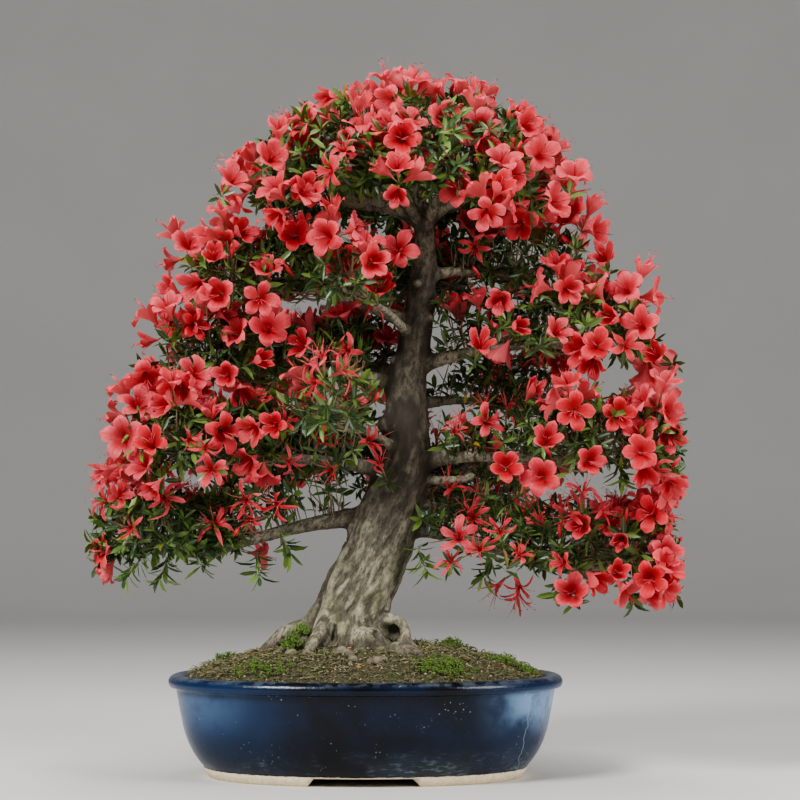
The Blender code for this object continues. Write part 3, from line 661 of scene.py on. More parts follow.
@dataclass(frozen=True)
class Bark:
    """Smooth grey-tan azalea bark, mottled brown, with painted shade in its creases, up the tree and in a
    band down the trunk's front, and painted light on its crests.
    """

    pale: Colour = paint(162, 157, 136)
    tan: Colour = paint(102, 95, 79)
    brown: Colour = paint(56, 48, 38)
    # Colour of the painted shade up the trunk and in hollows.
    dark: Colour = paint(44, 37, 27)
    moss: Colour = paint(104, 108, 70)
    root: Colour = paint(80, 66, 55)

    def material(self) -> Material:
        """Blotches and specks drawn out along each limb's grain, with a green cast at the foot, and painted
        shade up the trunk.

        Reads "grain", the place beside the trunk's axis, "thick", the limb's radius, and "crease", which is
        above 0 in hollows and in the painted shade band down the trunk's front, and under 0 on crests; it
        sets painted shade and painted light.
        """
        kit = Recipe("bark")
        grain = kit.held_vector("grain")
        height = kit.height()
        mottle = kit.noise(grain, 210, 6, 0.66)
        tones = [(0.30, self.brown), (0.43, self.tan), (0.57, self.pale), (0.80, self.tan)]
        colour = kit.ramp(mottle, tones)
        blotch = kit.between(kit.noise(grain, 70, 6, 0.70), 0.46, 0.64)
        colour = kit.mix(kit.times(blotch, 0.50), colour, self.brown)
        broad = kit.between(kit.noise(grain, 17, 4, 0.60), 0.42, 0.62)
        colour = kit.mix(kit.times(broad, 0.30), colour, self.brown)
        fine = kit.noise(grain, 640, 5, 0.70)
        colour = kit.mix(kit.times(kit.between(fine, 0.50, 0.64), 0.48), colour, self.brown)
        colour = kit.mix(kit.times(kit.between(fine, 0.47, 0.34), 0.40), colour, self.pale)
        low = kit.between(height, 0.30, 0.15)
        low = kit.times(low, kit.between(kit.cloudy(30, 3), 0.48, 0.62))
        colour = kit.mix(kit.times(low, 0.5), colour, self.moss)
        earthy = kit.between(kit.plus(height, kit.times(kit.noise(grain, 60, 4), 0.03)), 0.176, 0.152)
        colour = kit.mix(kit.times(earthy, 0.62), colour, self.root)
        # Painted shade of the crown over the trunk: darker from 0.19 m up, in patches, less at the crown's
        # fork, on thick limbs only.
        higher = kit.between(height, 0.19, 0.37)
        patchy = kit.between(kit.noise(grain, 34, 5), 0.36, 0.60)
        shade = kit.times(higher, kit.plus(kit.times(patchy, 0.40), 0.58))
        shade = kit.times(shade, kit.larger(kit.between(height, 0.61, 0.565), 0.15))
        shade = kit.times(shade, kit.between(kit.held("thick"), 0.006, 0.013))
        colour = kit.mix(shade, colour, self.dark)
        # Painted shade in hollows and along the band down the trunk's front, and painted light on crests.
        crease = kit.held("crease")
        colour = kit.mix(kit.times(kit.between(crease, 0.12, 1.0), 0.62), colour, self.dark)
        colour = kit.mix(kit.times(kit.between(crease, -0.25, -1.0), 0.30), colour, self.pale)
        relief = kit.plus(kit.times(mottle, 0.6), kit.times(fine, 0.4))
        normal = kit.bump(relief, 0.0022, 0.9)
        return kit.finish(kit.shader({"Base Color": colour, "Roughness": 0.84, "Normal": normal}))


@dataclass(frozen=True)
class Leaf:
    """Small leathery leaves, dark with a few fresh ones, and a pale midrib."""

    old: Colour = paint(34, 50, 28)
    grown: Colour = paint(56, 80, 46)
    fresh: Colour = paint(122, 154, 72)
    rib: Colour = paint(128, 146, 78)
    aged: Colour = paint(150, 128, 48)
    through: Colour = paint(98, 140, 48)

    def material(self) -> Material:
        """Reads "blade", which is across, along and age, and "tone", which differs from leaf to leaf."""
        kit = Recipe("leaf")
        blade = kit.node("SeparateXYZ", {0: kit.held_vector("blade")})
        tone = kit.held("tone")
        tones = [(0.0, self.old), (0.55, self.grown), (0.86, self.fresh)]
        colour = kit.ramp(tone, [*tones, (0.965, self.fresh), (0.985, self.aged)])
        mottle = kit.cloudy(260, 4)
        colour = kit.mix(kit.times(mottle, 0.35), colour, self.old)
        rib = kit.between(kit.absolute(blade.outputs["X"]), 0.22, 0.04)
        colour = kit.mix(kit.times(rib, 0.5), colour, self.rib)
        gloss = kit.plus(kit.times(mottle, 0.25), 0.26)
        made = kit.shader({"Base Color": colour, "Roughness": gloss, "Specular IOR Level": 0.5})
        return kit.finish(made, kit.mix(0.5, colour, self.through), 0.16)


@dataclass(frozen=True)
class Petal:
    """Coral pink azalea petals, paler at the rim by painted light, deep in the throat by painted shade,
    with dark spots on the top lobe.
    """

    coral: Colour = paint(226, 52, 60)
    # Pale rose for the tone of some blooms and for the painted light on the rims.
    rose_and_rim_light: Colour = paint(252, 130, 140)
    # Deep red for streaks and midlines, and for the painted shade in the throat.
    deep: Colour = paint(182, 40, 46)
    spot: Colour = paint(136, 20, 34)
    back: Colour = paint(246, 140, 142)
    through: Colour = paint(255, 112, 108)

    def material(self) -> Material:
        """Reads "petal", which is across, along and the spots' mark, and "tone" for each bloom."""
        kit = Recipe("petal")
        petal = kit.node("SeparateXYZ", {0: kit.held_vector("petal")})
        across, along, mark = (petal.outputs[k] for k in range(3))
        aside = kit.absolute(across)
        tone = kit.held("tone")
        colour = kit.mix(kit.times(tone, 0.60), self.coral, self.rose_and_rim_light)
        # Painted shade deep in the throat.
        throat = kit.times(kit.between(along, 0.78, 0.34), 0.85)
        colour = kit.mix(throat, colour, self.deep)
        # Painted light: paler at the tips and edges of the lobes.
        rim = kit.larger(kit.between(along, 0.78, 1.0), kit.between(aside, 0.70, 1.0))
        rim = kit.times(rim, kit.between(along, 0.40, 0.66))
        colour = kit.mix(kit.times(rim, 0.55), colour, self.rose_and_rim_light)
        rows = {0: kit.times(across, 9.0), 1: kit.times(along, 1.6), 2: tone}
        fine = kit.between(kit.noise(kit.node("CombineXYZ", rows).outputs[0], 2.0, 4), 0.40, 0.62)
        colour = kit.mix(kit.times(fine, 0.24), colour, self.deep)
        groove = kit.times(kit.between(aside, 0.20, 0.02), 0.30)
        colour = kit.mix(groove, colour, self.deep)
        spots = kit.between(kit.cells(kit.place(), 900), 0.36, 0.22)
        spotted = kit.times(kit.between(along, 0.84, 0.66), kit.between(aside, 0.80, 0.45))
        spots = kit.times(kit.times(spots, spotted), mark)
        colour = kit.mix(kit.times(spots, 0.8), colour, self.spot)
        behind = kit.node("NewGeometry", {}).outputs["Backfacing"]
        colour = kit.mix(kit.times(behind, 0.35), colour, self.back)
        crepe = kit.bump(kit.plus(fine, kit.cloudy(700, 2)), 0.0004, 0.6)
        look = {"Base Color": colour, "Roughness": 0.42, "Normal": crepe, "Specular IOR Level": 0.5}
        return kit.finish(kit.shader(look), kit.mix(0.5, colour, self.through), 0.30)


@dataclass(frozen=True)
class Plain:
    """Moulded black plastic, finely pitted."""

    colour: Colour = paint(22, 22, 23)

    def material(self) -> Material:
        """Near-black with a little grain."""
        kit = Recipe("mesh_plastic")
        grain = kit.cloudy(900, 3)
        colour = kit.mix(grain, self.colour, paint(44, 44, 46))
        look = {"Base Color": colour, "Roughness": 0.6, "Normal": kit.bump(grain, 0.0002)}
        return kit.finish(kit.shader(look))


def put(piece: Thing, slot: str, *nodes: str) -> Thing:
    """Hangs a finished piece on the frame and logs it.

    Args:
        piece: the object.
        slot: the name of its material slot; not used.
        nodes: the solids that it stands for.

    Returns:
        The piece.
    """
    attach(piece, BODY)
    if nodes:
        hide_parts(*nodes)
    log.info("%s: %d points, %d faces", piece.name, len(piece.data.vertices), len(piece.data.polygons))
    return piece


def apply_modifiers(made: Thing) -> None:
    """Bakes an object's modifiers into its mesh."""
    shape = made.evaluated_get(bpy.context.evaluated_depsgraph_get())
    mesh = bpy.data.meshes.new_from_object(shape)
    old = made.data
    made.modifiers.clear()
    made.data = mesh
    bpy.data.meshes.remove(old)
    mesh.name = made.name


def scratch(surface: Surface, name: str) -> Thing:
    """A surface as a helper object for a Boolean."""
    return surface.make(name, bpy.data.materials.get("scratch") or bpy.data.materials.new("scratch"))


def subtract(made: Thing, cutters: Sequence[Thing]) -> None:
    """Takes the cutters out of an object, and deletes them.

    Args:
        made: the object to cut.
        cutters: closed objects.
    """
    for cutter in cutters:
        step = made.modifiers.new("cut", "BOOLEAN")
        step.operation = "DIFFERENCE"
        step.solver = "EXACT"
        step.object = cutter
    apply_modifiers(made)
    for cutter in cutters:
        bpy.data.objects.remove(cutter)


def ellipsoid(centre: Sequence[float], half: Sequence[float], count: int = 20) -> Surface:
    """A closed ellipsoid.

    Rings run from pole to pole at even latitudes.

    Args:
        centre: its middle.
        half: its half size along x, y and z.
        count: rings, and half the columns.

    Returns:
        The surface.
    """
    latitude = np.linspace(-math.pi / 2, math.pi / 2, count + 2)[1:-1, None]
    longitude = np.linspace(0, 2 * math.pi, 2 * count, endpoint=False)[None]
    level = np.sin(latitude) * np.ones_like(longitude)
    flat = np.cos(latitude)
    rings = np.stack([flat * np.cos(longitude), flat * np.sin(longitude), level], axis=-1)
    middle, half = np.array(centre), np.array(half)
    pole = np.array([0.0, 0.0, 1.0])
    return revolve(middle + rings * half, middle - pole * half, middle + pole * half)


def pull_in(items: Array, anchor: int, low: Array, high: Array) -> Array:
    """Shrinks each item about one of its own points until all of it is inside a box.

    Args:
        items: (item, point, 3).
        anchor: which point stays, moved inside first by at least 4 mm.
        low: the box's lowest corner.
        high: its highest corner.

    Returns:
        The items, of the same shape.
    """
    fixed = items[:, anchor]
    held = np.clip(fixed, low + 4 * MM, high - 4 * MM)
    spans = items - fixed[:, None]
    past = np.maximum(spans.max(axis=1) / (high - held), spans.min(axis=1) / (low - held)).max(axis=1)
    return held[:, None] + spans / np.maximum(past, 1)[:, None, None]


def slide_in(items: Array, low: Array, high: Array) -> Array:
    """Moves each item, whole, until it is inside a box."""
    under = np.maximum(low - items.min(axis=1), 0)
    over = np.maximum(items.max(axis=1) - high, 0)
    return items + (under - over)[:, None]


def leaf_blades(
    base: Array, way: Array, up: Array, length: Array, width: Array, tone: Array, seed: int
) -> Surface:
    """Lance-shaped leaves of eight triangles each.

    A leaf has a point at either end and two rows of three points between. Its midline bends down
    with the square of the way along, and its sides stand up from it in a shallow fold.

    Args:
        base: where each leaf starts.
        way: its direction.
        up: the direction that its face looks towards.
        length: its length.
        width: its greatest width.
        tone: the number that colours it.
        seed: for bend, fold and turn.

    Returns:
        The leaves, with "blade" (across, along, age) and "tone". Each leaf's seventh point is its base.
    """
    draw = np.random.default_rng(seed)
    count = len(base)
    face = unit(up - way * np.sum(up * way, axis=1, keepdims=True))
    side = np.cross(way, face)
    turn = draw.normal(0, 0.35, (count, 1))
    face, side = face * np.cos(turn) + side * np.sin(turn), side * np.cos(turn) - face * np.sin(turn)
    t = np.array([0.34, 0.34, 0.34, 0.72, 0.72, 0.72, 0.0, 1.0])
    u = np.array([-1.0, 0.0, 1.0, -1.0, 0.0, 1.0, 0.0, 0.0])
    half = u * [0.90, 0, 0.90, 0.88, 0, 0.88, 0, 0]
    bend = draw.normal(0.14, 0.14, (count, 1))
    fold = draw.uniform(0.15, 0.6, (count, 1))
    drop = -bend * t**2 * length[:, None] + fold * np.abs(half) * width[:, None] / 2
    points = base[:, None] + way[:, None] * (t * length[:, None])[..., None]
    points = points + side[:, None] * (half * width[:, None] / 2)[..., None]
    points = points + face[:, None] * drop[..., None]
    quads = grid_faces(2, 3, False)
    ends = np.array([[6, 1, 0], [6, 2, 1], [7, 3, 4], [7, 4, 5]])
    values = {
        "blade": np.stack(np.broadcast_arrays(u, t, tone[:, None]), axis=-1).reshape(-1, 3),
        "tone": np.repeat(tone, 8),
    }
    faces = [repeat_faces(block, count, 8) for block in (quads, ends)]
    return Surface(points.reshape(-1, 3), faces, values)


@dataclass
class Pot:
    """The oval pot, its sizes, and the earth and moss that fill it.

    The plan is a superellipse. Insets are measured in from its rim.
    """

    length: float = 0.448
    width: float = 0.326
    power: float = 2.2
    foot_cut: float = 8.5 * MM
    cut_low: float = 61 * MM
    cut_high: float = 54 * MM
    drain_radius: float = 11 * MM
    drain_offset: float = 85 * MM
    columns: int = 208
    foot: Sequence[tuple[float, float]] = (
        (0.0640, 0.0095), (0.0606, 0.0006), (0.0600, 0.0), (0.0472, 0.0), (0.0465, 0.0006),
        (0.0402, 0.0098), (0.0408, 0.0112),
    )
    wall: Sequence[tuple[float, float]] = (
        (0.0400, 0.0122), (0.0340, 0.0195), (0.0260, 0.0320), (0.0187, 0.0500), (0.0140, 0.0710),
        (0.0100, 0.0920), (0.0088, 0.0980), (0.0066, 0.1000), (0.0020, 0.1010), (0.0000, 0.1060),
        (0.0022, 0.1115), (0.0080, 0.1140), (0.0145, 0.1134), (0.0190, 0.1080), (0.0215, 0.0950),
        (0.0260, 0.0500), (0.0400, 0.0240), (0.0560, 0.0200),
    )

    def __post_init__(self) -> None:
        """Finds the pot's middle in the frame."""
        low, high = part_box("pot")
        self.middle = np.array([(low[0] + high[0]) / 2, (low[1] + high[1]) / 2, 0.0])

    def oval(self, inset: Array, height: Array, angles: Array) -> Array:
        """Points on the plan's outline, moved in by inset and up to height.

        The outline is |x/a|^p + |y/b|^p = 1, with a and b the half sizes less the inset.

        Args:
            inset: how far in from the rim.
            height: above the ground.
            angles: round the pot.

        Returns:
            The points, of the inputs' common shape.
        """
        round_x = np.sign(np.cos(angles)) * np.abs(np.cos(angles)) ** (2 / self.power)
        round_y = np.sign(np.sin(angles)) * np.abs(np.sin(angles)) ** (2 / self.power)
        x = (self.length / 2 - inset) * round_x
        y = (self.width / 2 - inset) * round_y
        return np.stack(np.broadcast_arrays(x, y, height), axis=-1) + self.middle

    def share_of(self, points: Array, inset: float) -> Array:
        """How far out a place is: 0 in the middle, 1 on the outline at that inset."""
        x = np.abs(points[:, 0] - self.middle[0]) / (self.length / 2 - inset)
        y = np.abs(points[:, 1] - self.middle[1]) / (self.width / 2 - inset)
        return (x**self.power + y**self.power) ** (1 / self.power)

    def angles_round(self) -> Array:
        """Even angles, with more where the foot's cuts begin and end."""
        even = np.linspace(0, 2 * math.pi, self.columns, endpoint=False)
        marks = []
        for inset in (self.foot[2][0], self.foot[3][0]):
            for x in (self.cut_low, self.cut_high):
                first = math.acos((x / (self.length / 2 - inset)) ** (self.power / 2))
                marks += [first, math.pi - first, math.pi + first, 2 * math.pi - first]
        return np.sort(np.concatenate([even, marks]))

    def body(self) -> Thing:
        """The fired pot: one closed skin from the underside, round the foot, wall and lip, to the floor."""
        wall = smooth_route(self.wall, 62)
        profile = np.vstack([self.foot, wall])
        angles = self.angles_round()
        rings = self.oval(profile[:, :1], profile[:, 1:], angles[None])
        x = np.abs(rings[:, :, 0] - self.middle[0])
        lift = self.foot_cut * np.clip((self.cut_low - x) / (self.cut_low - self.cut_high), 0, 1)
        sideways = np.abs(np.sin(angles)) > 0.6
        rings[:, :, 2] = np.maximum(rings[:, :, 2], lift * sideways[None])
        low = self.middle + [0, 0, self.foot[0][1]]
        high = self.middle + [0, 0, self.wall[-1][1]]
        made = revolve(rings, low, high).make("pot_glazed", GlazedClay().material())
        subtract(made, [scratch(self.drain(side), "drain") for side in (-1, 1)])
        made.data.materials.clear()
        made.data.materials.append(bpy.data.materials["glazed_clay"])
        return put(made, "glaze", "pot")

    def drain(self, side: int) -> Surface:
        """A plug as big as one drain hole, left for -1 and right for 1."""
        middle = self.middle + [side * self.drain_offset, 0, 0]
        route = np.array([[middle + [0, 0, z] for z in (-0.004, -0.003, 0.030, 0.031)]])
        return sweep(route, np.full((1, 4), self.drain_radius), 32)


@dataclass
class Ground:
    """The earth in the pot, a low mound, and what grows and lies on it."""

    pot: Pot
    edge: float = 0.1105
    rise: float = 0.039
    fall: float = 2.3
    inset: float = 0.0190
    rows: int = 62
    columns: int = 200
    strands: int = 3100
    blades: int = 3000
    crumbs: int = 1300
    litter: int = 70
    tufts: Sequence[tuple[float, float, float, int, float]] = (
        (-0.082, -0.046, 0.013, 60, 0.004), (-0.070, -0.038, 0.009, 40, 0.015),
        (0.100, 0.010, 0.018, 60, 0.0), (0.092, -0.104, 0.022, 76, 0.0),
        (0.070, -0.112, 0.014, 30, 0.0), (0.158, -0.036, 0.016, 44, 0.0),
        (0.182, -0.050, 0.010, 24, 0.0), (-0.122, -0.098, 0.020, 36, 0.0),
        (-0.094, -0.108, 0.018, 22, 0.0), (-0.060, 0.090, 0.026, 60, 0.0),
        (0.060, 0.100, 0.022, 44, 0.0), (-0.165, 0.020, 0.018, 30, 0.0),
    )

    def height(self, points: Array) -> Array:
        """The mound's height: rise times one less share to the power fall, over the edge, and low lumps."""
        share = np.clip(self.pot.share_of(points, self.inset), 0, 1)
        place = points[:, :2]
        lumps = Ripple(5, 0.036).at(place) * 1.7 * MM + Ripple(6, 0.012).at(place) * 1.2 * MM
        return self.edge + self.rise * (1 - share**self.fall) + lumps * smooth_step(1.0, 0.94, share)

    def spots(self, count: int, seed: int, reach: float = 0.985) -> Array:
        """Random places on the mound, evenly spread by area.

        Args:
            count: how many.
            seed: for the draw.
            reach: the largest share of the way to the edge.

        Returns:
            The places, on the mound's skin.
        """
        draw = np.random.default_rng(seed)
        share = np.sqrt(draw.uniform(0, 1, count)) * reach
        angles = draw.uniform(0, 2 * math.pi, count)
        rim = self.pot.oval(np.full(count, self.inset), np.zeros(count), angles)
        points = self.pot.middle + (rim - self.pot.middle) * share[:, None]
        points[:, 2] = self.height(points)
        return points

    def mound(self) -> Thing:
        """The earth: the mound's skin, the pot's inside below it, and a flat bottom."""
        angles = np.linspace(0, 2 * math.pi, self.columns, endpoint=False)
        below = [(0.0570, 0.0206), (0.0420, 0.0246), (0.0275, 0.0500), (0.0225, 0.0950), (0.0196, 0.1075)]
        side = np.array(smooth_route(below, 14))
        wall = self.pot.oval(side[:, :1], side[:, 1:], angles[None])
        shares = np.linspace(1, 0.012, self.rows)
        rim = self.pot.oval(np.full(self.columns, self.inset), np.zeros(self.columns), angles)
        top = self.pot.middle + (rim - self.pot.middle)[None] * shares[:, None, None]
        top[:, :, 2] = self.height(top.reshape(-1, 3)).reshape(top.shape[:2])
        high = self.pot.middle.copy()
        high[2] = top[-1, :, 2].mean()
        skin = revolve(np.concatenate([wall, top]), self.pot.middle + [0, 0, 0.0206], high)
        return put(skin.make("earth_mound", Earth().material()), "soil", "soil")

    def moss(self) -> Thing:
        """Dry moss and roots: curled pale strands that lie on the mound."""
        draw = np.random.default_rng(21)
        count = self.strands
        start = self.spots(count, 22)
        way = draw.uniform(0, 2 * math.pi, count)
        length = draw.uniform(0.005, 0.016, count)
        curl = draw.uniform(-2.2, 2.2, count)
        share = np.linspace(0, 1, 5)[None]
        angle = way[:, None] + curl[:, None] * share
        step = length[:, None] * share
        lift = draw.uniform(0.8, 4.6, count)[:, None] * MM * np.sin(math.pi * share) - 0.3 * MM
        x = start[:, :1] + step * np.cos(angle)
        y = start[:, 1:2] + step * np.sin(angle)
        lying = np.stack([x, y, start[:, 2:] + lift], axis=-1)
        thick = draw.uniform(0.34, 0.95, (count, 1)) * MM * (1 - 0.5 * share)
        flat = sweep(lying, thick, 3)
        flat.values["tone"] = np.repeat(draw.uniform(0, 1, count), 3 * 3 + 2)
        look = Strand("dry_moss", paint(46, 43, 28), paint(190, 180, 140), paint(76, 80, 42))
        return self.keep_in(flat, "moss_strands", look)

    def short_blades(self) -> Thing:
        """Short green-brown growth, thicker in patches."""
        draw = np.random.default_rng(31)
        start = self.spots(self.blades, 32)
        patch = Ripple(9, 0.05).at(start[:, :2])
        start = start[patch > draw.uniform(-1.3, 0.6, self.blades)]
        count = len(start)
        ends = start + draw.normal(0, 0.0016, (count, 3))
        ends[:, 2] = start[:, 2] + draw.uniform(0.0018, 0.0058, count)
        start[:, 2] -= 0.0006
        routes = bend_between(start, ends, np.zeros((count, 3)), 4, 0.15, 33)
        blades = sweep(routes, np.full((count, 4), 0.00062) * [1, 1, 0.7, 0.2], 3)
        blades.values["tone"] = np.repeat(draw.uniform(0, 1, count), 2 * 3 + 2)
        look = Strand("low_moss", paint(40, 44, 22), paint(106, 114, 56), paint(108, 98, 66))
        return self.keep_in(blades, "moss_blades", look)

    def green_tufts(self) -> Thing:
        """Fresh star moss: each stem is ringed with narrow leaves up its length."""
        draw = np.random.default_rng(41)
        rows = np.repeat(np.array(self.tufts), [row[3] for row in self.tufts], axis=0)
        away = draw.normal(0, 0.5, (len(rows), 2)) * rows[:, 2:3]
        roots = self.pot.middle[:2] + rows[:, :2] + away
        apart = np.sum((away / (rows[:, 2:3] * 0.6)) ** 2, axis=1)
        tall = 0.0050 + 0.0085 * np.exp(-apart) * draw.uniform(0.7, 1.2, len(rows))
        inside = self.pot.share_of(roots, self.inset) < 0.96
        roots, tall, lift = roots[inside], tall[inside], rows[inside, 4]
        count = len(roots)
        start = np.column_stack([roots, self.height(roots) - 0.001 + lift])
        lean = draw.normal(0, 0.25, (count, 2)) * tall[:, None]
        ends = start + np.column_stack([lean, tall])
        routes = bend_between(start, ends, np.zeros((count, 3)), 5, 0.06, 42)
        stems = sweep(routes, np.full((count, 5), 0.0004), 3)
        stems.values["tone"] = np.repeat(draw.uniform(0, 0.4, count), 3 * 3 + 2)
        leaves = 13
        share = draw.uniform(0.25, 1.0, (count, leaves, 1))
        base = (start[:, None] + (ends - start)[:, None] * share).reshape(-1, 3)
        angle = draw.uniform(0, 2 * math.pi, count * leaves)
        out = np.column_stack([np.cos(angle), np.sin(angle), draw.uniform(0.1, 0.9, len(angle))])
        reach = draw.uniform(0.0020, 0.0040, (len(angle), 1))
        routes = bend_between(base, base + out * reach, np.array([[0, 0, 0.0004]]), 3, 0.0, 43)
        tips = sweep(routes, np.full((len(angle), 3), 0.00056), 3)
        tips.values["tone"] = draw.uniform(0, 0.5, len(angle)).repeat(3 + 2)
        look = Strand("star_moss", paint(56, 80, 34), paint(134, 164, 74), paint(94, 122, 52), 0.6, 0.15)
        return self.keep_in(Surface.join([stems, tips]), "star_moss_tufts", look)

    def crumb(self) -> Thing:
        """Grains of the mix that lie on top: low eight-sided lumps."""
        draw = np.random.default_rng(51)
        start = self.spots(self.crumbs, 52)
        size = draw.uniform(0.0007, 0.0022, (self.crumbs, 1, 1))
        corners = np.array([[1, 0, 0], [0, 1, 0], [-1, 0, 0], [0, -1, 0], [0, 0, 0.8], [0, 0, -0.8]])
        shape = corners * draw.uniform(0.6, 1.3, (self.crumbs, 6, 3)) * size
        turn = draw.uniform(0, math.pi, (self.crumbs, 1))
        x = shape[:, :, 0] * np.cos(turn) - shape[:, :, 1] * np.sin(turn)
        y = shape[:, :, 0] * np.sin(turn) + shape[:, :, 1] * np.cos(turn)
        points = start[:, None] + np.stack([x, y, shape[:, :, 2]], axis=-1) + [0, 0, 0.0006]
        over = [[0, 1, 4], [1, 2, 4], [2, 3, 4], [3, 0, 4]]
        under = [[1, 0, 5], [2, 1, 5], [3, 2, 5], [0, 3, 5]]
        tone = np.repeat(draw.uniform(0, 1, self.crumbs), 6)
        values = {"along": draw.uniform(0, 1, self.crumbs * 6), "tone": tone}
        faces = repeat_faces(np.array(over + under), self.crumbs, 6)
        grains = Surface(points.reshape(-1, 3), [faces], values)
        look = Strand("grains", paint(84, 66, 46), paint(146, 126, 96), paint(172, 156, 126))
        return self.keep_in(grains, "soil_grains", look)

    def fallen(self) -> Thing:
        """Fallen leaves and petals, dried orange and brown."""
        draw = np.random.default_rng(61)
        start = self.spots(self.litter, 62, 0.93) + [0, 0, 0.0030]
        angle = draw.uniform(0, 2 * math.pi, self.litter)
        axis = np.column_stack([np.cos(angle), np.sin(angle), draw.uniform(-0.1, 0.35, self.litter)])
        up = unit(np.column_stack([draw.normal(0, 0.3, (self.litter, 2)), np.ones(self.litter)]))
        length = draw.uniform(0.004, 0.010, self.litter)
        tone = draw.uniform(0, 1, self.litter)
        blades = leaf_blades(start, unit(axis), up, length, length * 0.40, tone, 63)
        blades.values["along"] = draw.uniform(0, 1, len(blades.points))
        del blades.values["blade"]
        look = Strand("litter", paint(150, 92, 52), paint(180, 132, 82), paint(104, 72, 46), 0.7)
        return self.keep_in(blades, "fallen_leaves", look)

    def keep_in(self, surface: Surface, name: str, finish: Strand) -> Thing:
        """Makes a piece of ground cover, held inside the lip of the pot.

        Points past the edge of the mound are drawn back in towards the pot's middle.

        Args:
            surface: the cover.
            name: the piece's name.
            finish: its look.

        Returns:
            The piece.
        """
        share = self.pot.share_of(surface.points, self.inset)
        past = np.maximum(share / 0.995, 1)[:, None]
        middle = self.pot.middle[:2]
        surface.points[:, :2] = middle + (surface.points[:, :2] - middle) / past
        return put(surface.make(name, finish.material()), "soil")

    def build(self) -> None:
        """Makes the earth and all that covers it."""
        self.mound()
        self.moss()
        self.short_blades()
        self.green_tufts()
        self.crumb()
        self.fallen()


